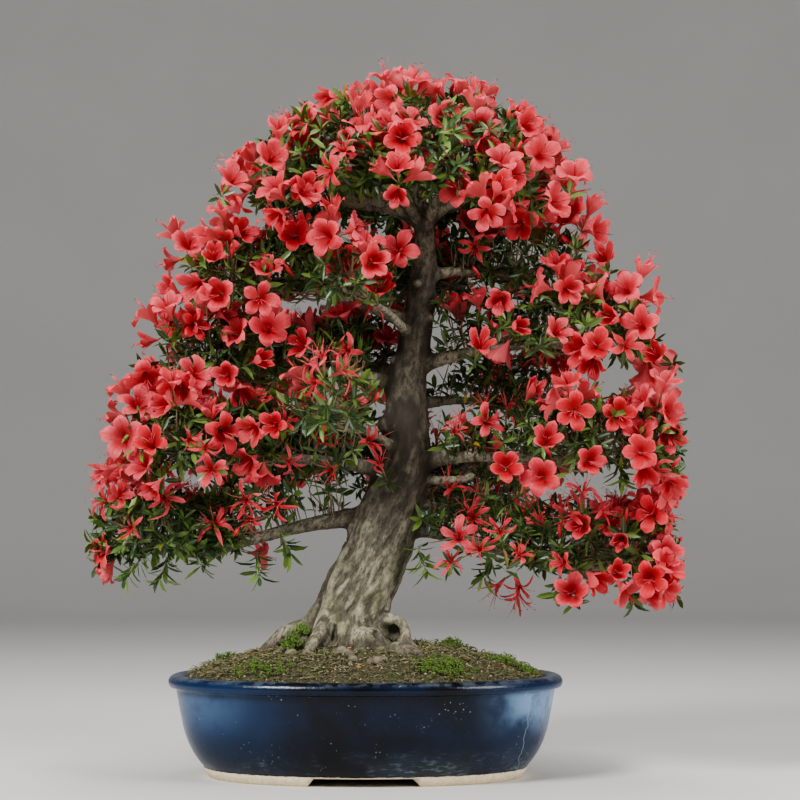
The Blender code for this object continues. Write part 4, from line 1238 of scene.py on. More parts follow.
@dataclass
class Cloud:
    """A cloud of foliage round a small core: an ellipsoid with a flat underside, long along its branch.

    Sizes are in metres from the middle of the pot. The centre, half sizes, drop and the height at
    which the branch leaves the trunk are those of the solid of the same name. Inner holds how many
    leafy shoots stand between the trunk and the cloud, how far they stray sideways, and how high.
    Dome holds the half sizes of the roof over the crown, dips the places, depths and half widths of
    its furrows, and wild the ends and directions of shoots that stick out of the cloud.
    """

    name: str
    centre: Sequence[float]
    half: Sequence[float]
    drop: float
    leaves_trunk: float
    branch_radius: float
    shoots: int
    singles: int
    inner: tuple[int, float, float]
    trusses: Sequence[tuple[float, float, "Kind"]] = ()
    dome: Sequence[float] = (0.226, 0.190, 0.146)
    dips: Sequence[tuple[float, float, float]] = (
        (-0.048, 0.016, 0.011), (-0.120, 0.016, 0.013), (0.112, 0.012, 0.012),
    )
    wild: Sequence[tuple[float, float, float, float, float, float]] = ()

    def set_out(self, wood: "Wood") -> None:
        """Turns the cloud along its branch and moves it into the frame.

        Args:
            wood: the trunk that carries it.
        """
        crown = self.name == "crown"
        self.stem = wood.trunk_at(self.leaves_trunk)
        self.middle = np.array(self.centre) + wood.pot.middle
        flat = (self.middle - self.stem) * [1, 1, 0]
        self.heading = np.array([1.0, 0.0, 0.0]) if crown else unit(flat)
        self.aside = np.array([-self.heading[1], self.heading[0], 0.0])
        self.turn = math.atan2(self.heading[1], self.heading[0])
        self.underside = 0.12 if crown else 0.50
        self.lobes = 5 if crown else 3
        self.shoot = 0.048 if crown else 0.033
        self.lift = self.shoot + 0.008

    def place(self, azimuth: Array, elevation: Array) -> tuple[Array, Array]:
        """The core's surface and its outward normal in directions seen from the middle.

        The ellipsoid swells in lobes round its rim, its lower half is flattened to the underside's
        share, and all of it slopes down outwards by drop.

        Args:
            azimuth: in radians, in the world.
            elevation: in radians.

        Returns:
            Points and unit normals, in rows.
        """
        azimuth, elevation = np.atleast_1d(azimuth), np.atleast_1d(elevation)
        angle = azimuth - self.turn
        u, v, w = np.cos(elevation) * np.cos(angle), np.cos(elevation) * np.sin(angle), np.sin(elevation)
        swell = 1 + 0.07 * np.sin(self.lobes * angle) * np.cos(elevation) ** 2
        up = self.half[2] * w * np.where(w < 0, self.underside, 1.0)
        along, side = self.half[0] * u * swell, self.half[1] * v * swell
        points = self.middle + along[:, None] * self.heading + side[:, None] * self.aside
        points[:, 2] += up - self.drop * along
        normal = (u / self.half[0])[:, None] * self.heading + (v / self.half[1])[:, None] * self.aside
        normal[:, 2] += w / self.half[2]
        return points, unit(normal)

    def sink(self, points: Array, margin: float) -> Array:
        """How far each point has to come down to stay under the crown's dome. Other clouds have none.

        The dome falls from its top with the power 2.5 of the way out to its rim.

        Args:
            points: places in rows.
            margin: how far under the dome they stay.

        Returns:
            Heights, 0 where a point is low enough.
        """
        if self.name != "crown":
            return np.zeros(len(points))
        out = (points - self.middle)[:, :2] / self.dome[:2]
        roof = self.middle[2] + self.dome[2] * (1 - np.minimum(np.linalg.norm(out, axis=1), 1.2) ** 2.5)
        for side, depth, width in self.dips:
            roof = roof - depth * np.exp(-(((points[:, 0] - self.middle[0] - side) / width) ** 2))
        return np.maximum(points[:, 2] - roof + margin, 0)

    def under(self, along: Array, side: Array) -> Array:
        """The underside's height at a place along and beside the branch, in shares of the half sizes."""
        depth = np.sqrt(np.maximum(0, 1 - along**2 - side**2))
        return self.middle[2] - self.drop * along * self.half[0] - self.half[2] * self.underside * depth

    def at(self, along: Array, side: Array, height: Array) -> Array:
        """The point at that place and height."""
        along, side, height = np.broadcast_arrays(along, side, height)
        point = self.middle + (along * self.half[0])[..., None] * self.heading
        point = point + (side * self.half[1])[..., None] * self.aside
        point[..., 2] = height
        return point

    def spine(self) -> Array:
        """The main branch: out from the trunk's middle, under the cloud, and up into its outer half."""
        below = 0.004 + self.branch_radius
        inner = self.at(-0.72, 0.0, self.under(-0.72, 0.0) - below)
        lead = self.stem * 0.55 + inner * 0.45 + [0, 0, 0.006]
        middle = self.at(-0.10, 0.05, self.under(-0.10, 0.05) - below * 0.8)
        rise = self.at(0.32, -0.05, self.under(0.32, -0.05) - below * 0.4)
        tip = self.at(0.62, 0.0, self.under(0.62, 0.0) + 0.011)
        rows = np.array([self.stem, lead, inner, middle, rise, tip])
        thick = np.linspace(self.branch_radius, 0.0022, 6) * [1.9, 1.12, 1, 1, 1, 1]
        return np.column_stack([rows, thick])

    def spread(self, count: int, low: float, seed: int) -> tuple[Array, Array]:
        """Directions spread evenly over the cloud by a two-step additive sequence.

        Args:
            count: how many.
            low: the lowest sine of an elevation.
            seed: shifts the sequence.

        Returns:
            Azimuths and elevations.
        """
        number = np.arange(count) + 37.0 * seed
        sine = 1 - (1 - low) * ((number * 0.7548777) % 1.0)
        return 2 * math.pi * ((number * 0.5698403) % 1.0), np.arcsin(sine)


@dataclass
class Wood:
    """The trunk with its surface roots and main branches, as one smooth skin."""

    pot: Pot
    clouds: Sequence[Cloud] = ()
    voxel: float = 2.35 * MM
    trunk: Sequence[tuple[float, float, float, float]] = (
        (-0.026, 0.000, 0.112, 0.0500), (-0.024, 0.000, 0.150, 0.0470),
        (-0.016, 0.001, 0.186, 0.0415), (-0.004, 0.003, 0.215, 0.0400),
        (0.012, 0.006, 0.252, 0.0385), (0.028, 0.008, 0.300, 0.0365), (0.041, 0.006, 0.336, 0.0340),
        (0.047, 0.002, 0.372, 0.0290), (0.047, -0.002, 0.408, 0.0245),
        (0.047, -0.003, 0.445, 0.0230), (0.054, 0.000, 0.484, 0.0200),
        (0.060, 0.004, 0.522, 0.0170), (0.065, 0.006, 0.562, 0.0150), (0.067, 0.004, 0.602, 0.0135),
        (0.066, 0.000, 0.632, 0.0110), (0.056, -0.003, 0.675, 0.0060),
    )
    roots: Sequence[tuple[float, float, float, float, float]] = (
        (182, 0.098, 0.0150, 0.174, 0.157), (212, 0.096, 0.0100, 0.164, 0.147),
        (238, 0.084, 0.0108, 0.172, 0.152), (262, 0.070, 0.0100, 0.152, 0.142),
        (288, 0.078, 0.0110, 0.152, 0.144), (318, 0.084, 0.0120, 0.160, 0.147),
        (4, 0.100, 0.0105, 0.166, 0.148), (52, 0.074, 0.0125, 0.166, 0.148),
        (102, 0.066, 0.0130, 0.164, 0.148), (146, 0.078, 0.0125, 0.168, 0.148),
    )
    arch: Sequence[tuple[float, float, float, float]] = (
        (0.004, -0.010, 0.172, 0.0130), (0.019, -0.020, 0.1745, 0.0095),
        (0.031, -0.027, 0.1755, 0.0074), (0.0400, -0.031, 0.1705, 0.0068),
        (0.0442, -0.034, 0.161, 0.0070), (0.0448, -0.037, 0.150, 0.0090),
        (0.055, -0.042, 0.140, 0.0084), (0.071, -0.044, 0.132, 0.0050),
    )
    stub: Sequence[tuple[float, float, float, float]] = (
        (0.046, -0.006, 0.331, 0.0090), (0.068, -0.009, 0.3330, 0.0054),
        (0.092, -0.013, 0.3340, 0.0044), (0.112, -0.014, 0.3350, 0.0043),
        (0.120, -0.014, 0.3380, 0.0046), (0.122, -0.014, 0.3425, 0.0040),
    )
    burrs: Sequence[tuple[float, float, float, float]] = (
        (0.000, -0.040, 0.151, 0.0200), (-0.0145, -0.104, 0.1305, 0.0050),
        (0.0070, -0.096, 0.1330, 0.0052), (0.0140, -0.097, 0.1340, 0.0060),
        (0.0205, -0.094, 0.1350, 0.0048), (-0.0310, -0.072, 0.1400, 0.0062),
        (-0.0245, -0.076, 0.1430, 0.0072), (-0.0165, -0.082, 0.1400, 0.0062),
        (-0.0120, -0.090, 0.1360, 0.0050), (0.0440, -0.064, 0.1400, 0.0110),
        (0.0350, -0.058, 0.1440, 0.0095), (0.0590, -0.068, 0.1385, 0.0076),
        (0.0700, -0.078, 0.1350, 0.0050), (0.0200, -0.060, 0.1410, 0.0090),
        (0.0250, -0.008, 0.1580, 0.0170), (-0.0820, -0.056, 0.1390, 0.0070),
        (-0.0640, -0.028, 0.1440, 0.0190), (0.036, -0.010, 0.470, 0.0095),
        (0.030, -0.012, 0.398, 0.0130), (0.058, -0.008, 0.392, 0.0120),
        (0.073, -0.008, 0.521, 0.0066), (0.058, -0.016, 0.560, 0.0070),
    )
    hollows: Sequence[tuple[float, float, float, float]] = (
        (0.0325, -0.033, 0.1625, 0.0070), (-0.0365, -0.052, 0.1550, 0.0092),
        (-0.0350, -0.050, 0.1665, 0.0062), (0.0130, -0.056, 0.1620, 0.0050),
    )
    crown_azimuths: Sequence[float] = (198, 248, 300, 350, 40, 95, 150)

    def trunk_at(self, height: float) -> Array:
        """The trunk's axis at a height, read between the points of its route."""
        rows = np.array(self.trunk)
        return np.array([np.interp(height, rows[:, 2], rows[:, k]) for k in range(3)]) + self.pot.middle

    def root_rows(self) -> list[Array]:
        """Surface roots: out of the trunk's flank, over a crest, and down into the soil."""
        made = []
        base = np.array(self.trunk[1][:3]) + self.pot.middle
        for heading, reach, radius, crest, shoulder in self.roots:
            way = np.array([math.cos(math.radians(heading)), math.sin(math.radians(heading)), 0.0])
            half = 0.042 + (reach - 0.042) * 0.5
            places = zip((0.020, 0.042, half, reach), (crest + 0.016, crest - 0.006, shoulder, 0.132))
            points = [[*(base + way * out)[:2], height] for out, height in places]
            made.append(np.column_stack([points, radius * np.linspace(1, 0.45, 4)]))
        return made

    def crown_rows(self, crown: Cloud) -> list[Array]:
        """Branches that fork from the trunk's top, spread under the crown and rise into it."""
        made = []
        base = crown.middle[2] - crown.half[2] * crown.underside
        for number, azimuth in enumerate(self.crown_azimuths):
            rim, _ = crown.place(math.radians(azimuth), 0.0)
            low = crown.stem - [0, 0, 0.006 * (number % 3)]
            points = [low] + [crown.stem + (rim[0] - crown.stem) * share for share in (0.30, 0.55, 0.72)]
            for point, height in zip(points[1:], (base - 0.013, base - 0.007, base + 0.011)):
                point[2] = height
            made.append(np.column_stack([points, np.linspace(0.0072, 0.0028, 4)]))
        return made

    def limbs(self) -> list[Array]:
        """Every limb as rows of place and radius, 40 to a limb."""
        moved = np.append(self.pot.middle, 0.0)
        rows = [np.array(self.trunk) + moved, np.array(self.arch) + moved, np.array(self.stub) + moved]
        rows += self.root_rows()
        for cloud in self.clouds:
            rows += self.crown_rows(cloud) if cloud.name == "crown" else [cloud.spine()]
        return [smooth_route(limb, 40) for limb in rows]

    def skin(self, limbs: Sequence[Array]) -> Thing:
        """The limbs and burrs as one closed skin, with the hollows cut in and the joins smoothed.

        Args:
            limbs: rows of place and radius.

        Returns:
            The wood, still without its fine relief.
        """
        routes = np.array([limb[:, :3] for limb in limbs])
        tubes = sweep(routes, np.array([limb[:, 3] for limb in limbs]) + 0.0005, 28)
        tubes.values = {}
        lumps = []
        for number, (x, y, z, radius) in enumerate(self.burrs):
            half = radius * np.array([1.18 + 0.20 * math.sin(5 * number), 1.15, 1.0])
            lumps.append(ellipsoid(self.pot.middle + [x, y, z], half, 12))
        made = scratch(Surface.join([tubes, *lumps]), "trunk_and_branches_bark")
        grown = made.modifiers.new("grow_together", "REMESH")
        grown.mode = "VOXEL"
        grown.voxel_size = self.voxel
        apply_modifiers(made)
        cutters = [
            scratch(ellipsoid(self.pot.middle + [x, y, z], (r, r * 2.2, r * 1.25), 12), "hollow")
            for x, y, z, r in self.hollows
        ]
        subtract(made, cutters)
        return made

    @staticmethod
    def radii_at(points: Array, limbs: Sequence[Array]) -> Array:
        """The radius of the limb that each point belongs to: the one whose skin is nearest.

        Args:
            points: places in rows.
            limbs: rows of place and radius.

        Returns:
            One radius a point.
        """
        centres = np.concatenate([limb[:, :3] for limb in limbs])
        radii = np.concatenate([limb[:, 3] for limb in limbs])
        nearest = np.empty(len(points), int)
        for block in np.array_split(np.arange(len(points)), 1 + len(points) // 4000):
            here = points[block]
            apart = np.sum(here**2, axis=1)[:, None] + np.sum(centres**2, axis=1) - 2 * here @ centres.T
            nearest[block] = np.argmin(np.sqrt(np.maximum(apart, 0)) - radii, axis=1)
        return radii[nearest]

    @staticmethod
    def soften(points: Array, edges: Array, share: Array, rounds: int) -> Array:
        """Moves each point by its share of the way to the middle of its neighbours, round after round.

        Args:
            points: the skin's points.
            edges: two point numbers an edge.
            share: one value a point, from 0 to 1.
            rounds: how many times.

        Returns:
            The moved points.
        """
        one, other = edges.T
        count = len(points)
        near = np.maximum(np.bincount(edges.ravel(), minlength=count), 1)[:, None]
        for _ in range(rounds):
            sums = [
                np.bincount(one, points[other, k], count) + np.bincount(other, points[one, k], count)
                for k in range(3)
            ]
            points = points + (np.stack(sums, axis=1) / near - points) * share[:, None]
        return points

    def creases(self, points: Array, normals: Array, edges: Array, radii: Array) -> Array:
        """How hollow the skin is round each point, from -1 on a crest to 1 in a crease.

        It is how far softening takes a point along its normal, less what a smooth limb of that radius
        would give.
        """
        soft = self.soften(points, edges, np.ones(len(points)), 14)
        moved = np.sum((soft - points) * normals, axis=1)
        return np.clip((moved + 17e-6 / (radii + 0.004)) / 0.0011, -1, 1)

    @staticmethod
    def read(mesh: bpy.types.Mesh, label: str) -> Array:
        """The mesh's points for "co", or their normals for "normal", in rows."""
        values = np.empty(len(mesh.vertices) * 3)
        mesh.vertices.foreach_get(label, values)
        return values.reshape(-1, 3)

    def relief(self, points: Array, grain: Array, radii: Array) -> Array:
        """Height over the smooth skin: broad ridges that wind up the trunk, and two sizes of ripple."""
        base = points - self.trunk_at(0.15)
        ridges = np.cos(4 * np.arctan2(base[:, 0], -base[:, 1]) + 9 * points[:, 2])
        low = 0.35 + np.exp(-np.maximum(0, points[:, 2] - 0.15) / 0.09)
        ridges *= radii * 0.045 * low * smooth_step(0.010, 0.016, radii)
        ripples = Ripple(3, 0.036).at(grain) * 2.2 * MM + Ripple(4, 0.012, 2).at(grain) * 0.7 * MM
        return ridges + ripples * np.clip(radii / 0.040, 0.12, 1.0)

    def old_bark_and_shade_band(self, grain: Array, height: Array) -> Array:
        """A dark band that winds down the trunk's front, from its middle to the left: partly darker old
        bark, partly painted shade where the side lights leave the front darker.
        """
        away = np.abs(grain[:, 0] + 0.015 * smooth_step(0.30, 0.20, height) + 0.003 * np.sin(60 * height))
        ends = smooth_step(0.155, 0.19, height) * smooth_step(0.50, 0.36, height)
        wavy = 0.80 + 0.45 * Ripple(12, 0.020).at(grain)
        return 1.1 * smooth_step(0.021, 0.005, away) * ends * (grain[:, 1] < 0) * np.clip(wavy, 0, 1)

    def build(self) -> list[Array]:
        """Makes the wood.

        The skin is softened, most of all where the limbs are thick, and then moved along its normals
        by the relief. The grain is the place beside the trunk's axis, with heights squeezed to half.

        Returns:
            The limbs, as rows of place and radius.
        """
        limbs = self.limbs()
        made = self.skin(limbs)
        mesh = made.data
        points = self.read(mesh, "co")
        edges = np.empty(len(mesh.edges) * 2, np.int32)
        mesh.edges.foreach_get("vertices", edges)
        edges = edges.reshape(-1, 2)
        radii = self.radii_at(points, limbs)
        points = self.soften(points, edges, np.full(len(points), 0.5), 3)
        points = self.soften(points, edges, smooth_step(0.005, 0.012, radii) * 0.5, 14)
        mesh.vertices.foreach_set("co", points.astype(np.float32).ravel())
        mesh.update()
        normals = self.read(mesh, "normal")
        rows = np.array(self.trunk)
        axis = [np.interp(points[:, 2], rows[:, 2], rows[:, k]) + self.pot.middle[k] for k in range(2)]
        grain = np.column_stack([points[:, 0] - axis[0], points[:, 1] - axis[1], points[:, 2] * 0.5])
        points = points + normals * self.relief(points, grain, radii)[:, None]
        points[:, 2] = np.maximum(points[:, 2], 0.026)
        mesh.vertices.foreach_set("co", points.astype(np.float32).ravel())
        # Hollowness plus the dark band: the bark paints shade where this is high, and light on crests where
        # it is low.
        creases = self.creases(points, normals, edges, radii) + self.old_bark_and_shade_band(grain, points[:, 2])
        hold(mesh, {"grain": grain, "thick": radii, "crease": creases})
        mesh.polygons.foreach_set("use_smooth", np.ones(len(mesh.polygons), bool))
        mesh.materials.clear()
        mesh.materials.append(Bark().material())
        mesh.update()
        put(made, "bark", "trunk_and_branches")
        return limbs


class Kind(Enum):
    """The forms of bloom on the tree, each with the least and the greatest width of its lobes.

    A width of 1 is a full bloom's, and 0 a narrow strap's.
    """

    FULL = (0.80, 1.0)
    STAR = (0.25, 0.62)
    STRAP = (0.0, 0.12)


FULL, STAR, STRAP = Kind


@dataclass
class Blooms:
    """Open flowers in the making: where each sits and how it looks, one row a flower."""

    face: Array
    axis: Array
    spin: Array
    full: Array
    size: Array
    opened: Array
    tone: Array

    @staticmethod
    def join(parts: Sequence["Blooms"]) -> "Blooms":
        """All the flowers together."""
        names = ("face", "axis", "spin", "full", "size", "opened", "tone")
        return Blooms(*(np.concatenate([getattr(part, name) for part in parts]) for name in names))

    def __len__(self) -> int:
        """How many flowers there are."""
        return len(self.face)


@dataclass(frozen=True)
class Corolla:
    """The funnel of a satsuki bloom, and how it changes from a full bloom to five narrow straps.

    A lobe's midline is given by its distance from the axis and its height over the bloom's face, and
    its edges by the half angle that it takes up round the axis. The lobes are joined below the notch.
    """

    full_out: Sequence[float] = (1.5, 2.6, 5.0, 8.4, 12.2, 15.8, 19.0, 21.9, 24.2)
    full_up: Sequence[float] = (-22, -17.0, -12.4, -8.2, -4.6, -1.6, 0.4, 1.0, -0.6)
    full_half: Sequence[float] = (36, 36, 36, 36, 36, 35.0, 29.5, 19.5, 3.0)
    strap_out: Sequence[float] = (1.2, 1.5, 1.9, 2.8, 6.5, 11.5, 16.5, 21.0, 24.5)
    strap_up: Sequence[float] = (-19, -14, -9, -3.5, 0.5, 2.0, 2.2, 1.2, -1.5)
    strap_half: Sequence[float] = (36, 36, 36, 30, 14.5, 9.5, 8.0, 6.2, 1.2)
    overlap: Sequence[float] = (0.7, -0.4, 0.4, -0.6, 0.1)
    spotted: Sequence[float] = (1.0, 0.35, 0.0, 0.0, 0.35)
    lobes: int = 5
    across: int = 5
    stamens: int = 5

    def petals(self, blooms: Blooms, seed: int) -> Surface:
        """The petals of all blooms.

        Each lobe is a grid over its width u and its length t. Past the notch the midline droops and
        bends aside, the edges roll back with the square of u, ruffle in a sine along t, and the blade
        turns about its midline, most of all in the straps.

        Args:
            blooms: the flowers.
            seed: for the differences between lobes.

        Returns:
            The surface, with "petal" (across, along, mark) and "tone".
        """
        draw = np.random.default_rng(seed)
        count, steps = len(blooms), len(self.full_out)
        shape = (count, self.lobes, 1, 1)
        full = blooms.full[:, None, None, None]
        out, up, half = (
            np.array(strap)[:, None] * (1 - full) + np.array(wide)[:, None] * full
            for strap, wide in (
                (self.strap_out, self.full_out),
                (self.strap_up, self.full_up),
                (self.strap_half, self.full_half),
            )
        )
        t = np.linspace(0, 1, steps)[:, None]
        u = np.linspace(-1, 1, self.across)[None]
        free = smooth_step(0.40, 1.0, t)
        opened = blooms.opened[:, None, None, None]
        loose = 1 - full
        bend = draw.normal(0, 1, shape) * (0.07 + 0.30 * loose)
        droop = draw.normal(0, 1, shape) * (2.4 + 3.6 * loose) + 0.8 + 2.0 * loose
        roll = draw.normal(0, 1, shape) * (0.22 + 0.74 * loose)
        stretch = 1 + draw.normal(0, 0.07, shape) + draw.normal(0, 0.09, shape) * loose
        ruffle = draw.uniform(0, 2 * math.pi, shape)
        wide = 1 + draw.normal(-0.02, 0.07, (count, 1, 1, 1)) * free
        angle = np.radians(half) * u * wide
        radius = out * (1 + (stretch - 1) * free) * (1 + (opened - 1) * smooth_step(0.25, 0.7, t))
        side = radius * np.sin(angle)
        ahead = radius * np.cos(angle)
        height = up + (1 - opened) * out * 1.15 * free - droop * free**2
        height = height - (1.3 * full + 0.5) * u**2 * free
        height = height + 2.4 * full * free * np.abs(u) * np.sin(ruffle + 9.5 * t + 2.1 * u)
        height = height + 0.55 * full * free * np.cos(3 * math.pi * u)
        height = height + np.array(self.overlap)[:, None, None] * full * smooth_step(0.3, 0.6, t)
        twist = roll * free
        height = height + side * np.sin(twist)
        side = side * np.cos(twist)
        turn = bend * free**2
        cosine, sine = np.cos(turn), np.sin(turn)
        ahead, side = ahead * cosine - side * sine, ahead * sine + side * cosine
        right, over = axes_across(blooms.axis)
        jitter = draw.normal(0, 0.05, (count, self.lobes)) * (3 - 2 * blooms.full[:, None])
        jitter *= blooms.full[:, None] < 0.9
        places = blooms.spin[:, None] + 2 * math.pi * np.arange(self.lobes) / self.lobes + jitter
        cosine, sine = np.cos(places)[..., None], np.sin(places)[..., None]
        lean = (right[:, None] * cosine + over[:, None] * sine)[:, :, None, None]
        beside = (over[:, None] * cosine - right[:, None] * sine)[:, :, None, None]
        size = (blooms.size * MM)[:, None, None, None, None]
        straight = blooms.axis[:, None, None, None]
        points = lean * ahead[..., None] + beside * side[..., None] + straight * height[..., None]
        points = blooms.face[:, None, None, None] + points * size
        grids = [u + 0 * t, t + 0 * u, np.array(self.spotted)[:, None, None]]
        grids = [np.broadcast_to(grid, points.shape[:-1]) for grid in grids]
        values = {
            "petal": np.stack(grids, axis=-1).reshape(-1, 3),
            "tone": np.repeat(blooms.tone, self.lobes * steps * self.across),
        }
        quads = grid_faces(steps, self.across, False)[:, ::-1]
        faces = repeat_faces(quads, count * self.lobes, steps * self.across)
        return Surface(points.reshape(-1, 3), [faces], values)

    def threads(self, blooms: Blooms, seed: int) -> Array:
        """The routes of the stamens, and last the pistil, of all blooms.

        They leave the throat together, bow down under their own weight and turn up again at the end.

        Args:
            blooms: the flowers.
            seed: for their spread.

        Returns:
            The routes, as (thread, 5, 3).
        """
        draw = np.random.default_rng(seed)
        count, each = len(blooms), self.stamens + 1
        right, over = axes_across(blooms.axis)
        loose = (1 - blooms.full)[:, None]
        fan = np.linspace(-1, 1, each)[None] * (0.9 + 1.9 * loose) + draw.normal(0, 0.22, (count, each))
        any_way = draw.uniform(0, 2 * math.pi, (count, 1))
        downward = np.arctan2(-over[:, 2], -right[:, 2])[:, None]
        fan = fan + np.where(loose > 0.5, any_way, downward)
        way = right[:, None] * np.cos(fan)[..., None] + over[:, None] * np.sin(fan)[..., None]
        long = draw.uniform(0.82, 1.12, (count, each)) * (1 + 0.25 * loose)
        long[:, -1] *= 1.2
        steps_up = np.array([-15, -7, 1, 8, 14.5])
        steps_out = np.array([0.3, 1.0, 2.6, 5.0, 8.2])
        up = steps_up[None, None] * np.where(steps_up > 0, long[..., None], 1.0)
        out = steps_out[None, None] * (1 + 0.8 * loose[..., None]) * long[..., None]
        size = (blooms.size * MM)[:, None, None, None]
        routes = (blooms.axis[:, None, None] * up[..., None] + way[:, :, None] * out[..., None]) * size
        routes = routes + blooms.face[:, None, None]
        routes[..., 2] += np.array([0, 0, 0, 0.6, 2.2]) * MM
        return routes.reshape(count * each, 5, 3)

    def anthers(self, routes: Array, seed: int) -> Surface:
        """A small anther across the end of every stamen.

        Args:
            routes: the threads' routes, with the pistil last in each bloom.
            seed: for their tones.

        Returns:
            The anthers.
        """
        stamens = routes.reshape(-1, self.stamens + 1, 5, 3)[:, :-1].reshape(-1, 5, 3)
        tips = stamens[:, -1]
        ways = unit(tips - stamens[:, -2])
        side, _ = axes_across(ways)
        spans = np.stack([tips - side * 1.1 * MM, tips + ways * 0.4 * MM, tips + side * 1.1 * MM], axis=1)
        made = sweep(spans, np.full((len(tips), 3), 0.55 * MM), 4)
        tone = np.random.default_rng(seed).uniform(0, 1, len(tips))
        made.values["tone"] = np.repeat(tone, 4 + 2)
        return made


@dataclass
class Foliage:
    """All leaves, twigs and flowers of one group of clouds.

    Front holds blooms that face the viewer, as their places from the middle of the pot and their form.
    Room is how near a spray may come to another bloom.
    """

    name: str
    clouds: Sequence[Cloud]
    limbs: Sequence[Array]
    seed: int
    front: Sequence[tuple[float, float, float, Kind]] = ()
    truss_tilt: float = 68
    room: float = 0.031
    corolla: Corolla = Corolla()

    def __post_init__(self) -> None:
        """Starts with nothing grown."""
        low, high = (np.array(corner) for corner in CAD_BOX)
        self.low, self.high = low + 0.5 * MM, high - 0.5 * MM
        self.draw = np.random.default_rng(self.seed)
        self.twigs: list[Surface] = []
        self.green: list[Surface] = []
        self.leaves: list[Surface] = []
        self.blooms: list[Blooms] = []
        self.buds: list[tuple[Array, Array]] = []
        self.joints: list[Array] = []

    def whorls(self, tips: Array, axes: Array, vigour: Array) -> None:
        """Leaves in whorls round the ends of shoots.

        Leaf after leaf turns by 137.5 degrees and starts a little lower down the shoot.

        Args:
            tips: the shoots' ends.
            axes: their directions.
            vigour: from 0, small and dark, to 1, long and fresh.
        """
        draw = self.draw
        each = draw.integers(5, 9, len(tips))
        owner = np.repeat(np.arange(len(tips)), each)
        order = np.arange(len(owner)) - np.repeat(np.cumsum(each) - each, each)
        right, over = axes_across(axes)
        angle = GOLDEN_ANGLE * order + np.repeat(draw.uniform(0, 6.28, len(tips)), each)
        radial = right[owner] * np.cos(angle)[:, None] + over[owner] * np.sin(angle)[:, None]
        tilt = np.radians(38 + 7 * order + draw.normal(0, 11, len(owner)))[:, None]
        way = axes[owner] * np.cos(tilt) + radial * np.sin(tilt) + draw.normal(0, 0.10, (len(owner), 3))
        base = tips[owner] - axes[owner] * (order * 0.0011)[:, None]
        length = (0.0140 + 0.0082 * vigour[owner]) * draw.uniform(0.72, 1.25, len(owner))
        width = length * draw.uniform(0.24, 0.32, len(owner))
        fresh = vigour[owner] * 0.45 + draw.uniform(0, 0.62, len(owner)) - 0.10 * (order > 4)
        tone = np.where(draw.uniform(0, 1, len(owner)) > 0.994, 0.99, np.clip(fresh, 0, 0.96))
        made = leaf_blades(base, unit(way), axes[owner], length, width, tone, int(draw.integers(1e6)))
        made.points = pull_in(made.points.reshape(-1, 8, 3), 6, self.low, self.high).reshape(-1, 3)
        self.leaves.append(made)

    def grow_twigs(self, routes: Array, radii: Array, green: float = 0.0) -> None:
        """Adds twigs. Green is how young they are, from 0 to 1."""
        routes = pull_in(routes, 0, self.low + 2 * MM, self.high - 2 * MM)
        made = sweep(routes, radii, 4 if len(routes) < 60 else 3)
        tone = self.draw.uniform(-0.2, 0.2, len(made.points))
        made.values["tone"] = tone + green
        self.twigs.append(made)

    def grow_cloud(self, cloud: Cloud) -> None:
        """Fills a cloud: boughs that fan out from its branch, twigs to each shoot, leaves and blooms.

        Args:
            cloud: the cloud to fill.
        """
        draw = self.draw
        crown = cloud.name == "crown"
        hubs = 46 if crown else 16 if cloud.half[0] > 0.03 else 6
        number = np.arange(hubs) + 0.5
        way, reach = GOLDEN_ANGLE * number, np.sqrt(number / hubs) * 0.96
        along, side = reach * np.cos(way), reach * np.sin(way)
        lift = cloud.half[2] * (0.10 + 0.55 * draw.uniform(0, 1, hubs)) * (1.0 - 0.5 * reach)
        knees = cloud.at(along, side, cloud.under(along * 0.8, side * 0.8) + 0.002 + lift)
        carriers = self.carriers(cloud)
        lean = knees * 0.62 + cloud.stem * 0.38
        apart = np.linalg.norm(lean[:, None] - carriers[None], axis=2)
        starts = carriers[np.argmin(apart, axis=1)]
        rise = np.column_stack([np.zeros((hubs, 2)), -0.12 * np.linalg.norm(knees - starts, axis=1)])
        boughs = bend_between(starts, knees, rise, 9, 0.07, int(draw.integers(1e6)))
        thick = np.linspace(1, 0.5, 9) * draw.uniform(1.5, 2.3, (hubs, 1)) * (1.35 if crown else 1.0) * MM
        self.grow_twigs(boughs, thick)
        azimuth, elevation = cloud.spread(cloud.shoots, -0.62 if crown else -0.50, len(cloud.name))
        skin, normal = cloud.place(azimuth, elevation)
        deep = draw.uniform(0, 1, cloud.shoots) ** 0.6
        above = smooth_step(-0.4, 0.3, np.sin(elevation))
        height = cloud.shoot * (0.10 + 0.95 * deep) * (0.45 + 0.55 * above)
        axes = unit(normal + [0, 0, 0.22] + draw.normal(0, 0.28, normal.shape))
        tips = skin + normal * height[:, None] + draw.normal(0, 0.003, normal.shape)
        tips[:, 2] -= cloud.sink(tips, 0.014)
        tips = np.clip(tips, self.low + 8 * MM, self.high - 8 * MM)
        joints = np.concatenate([boughs[:, 5], boughs[:, 8]])
        self.joints.append(joints)
        self.reach_out(joints, tips, 0.16)
        self.whorls(tips, axes, np.clip(deep * 0.8 + draw.normal(0, 0.18, len(tips)), 0, 1))
        self.spurs(boughs)
        self.flower(cloud, joints)
        if cloud.inner[0]:
            self.grow_inner(cloud)
        if cloud.wild:
            self.grow_wild(cloud, joints)

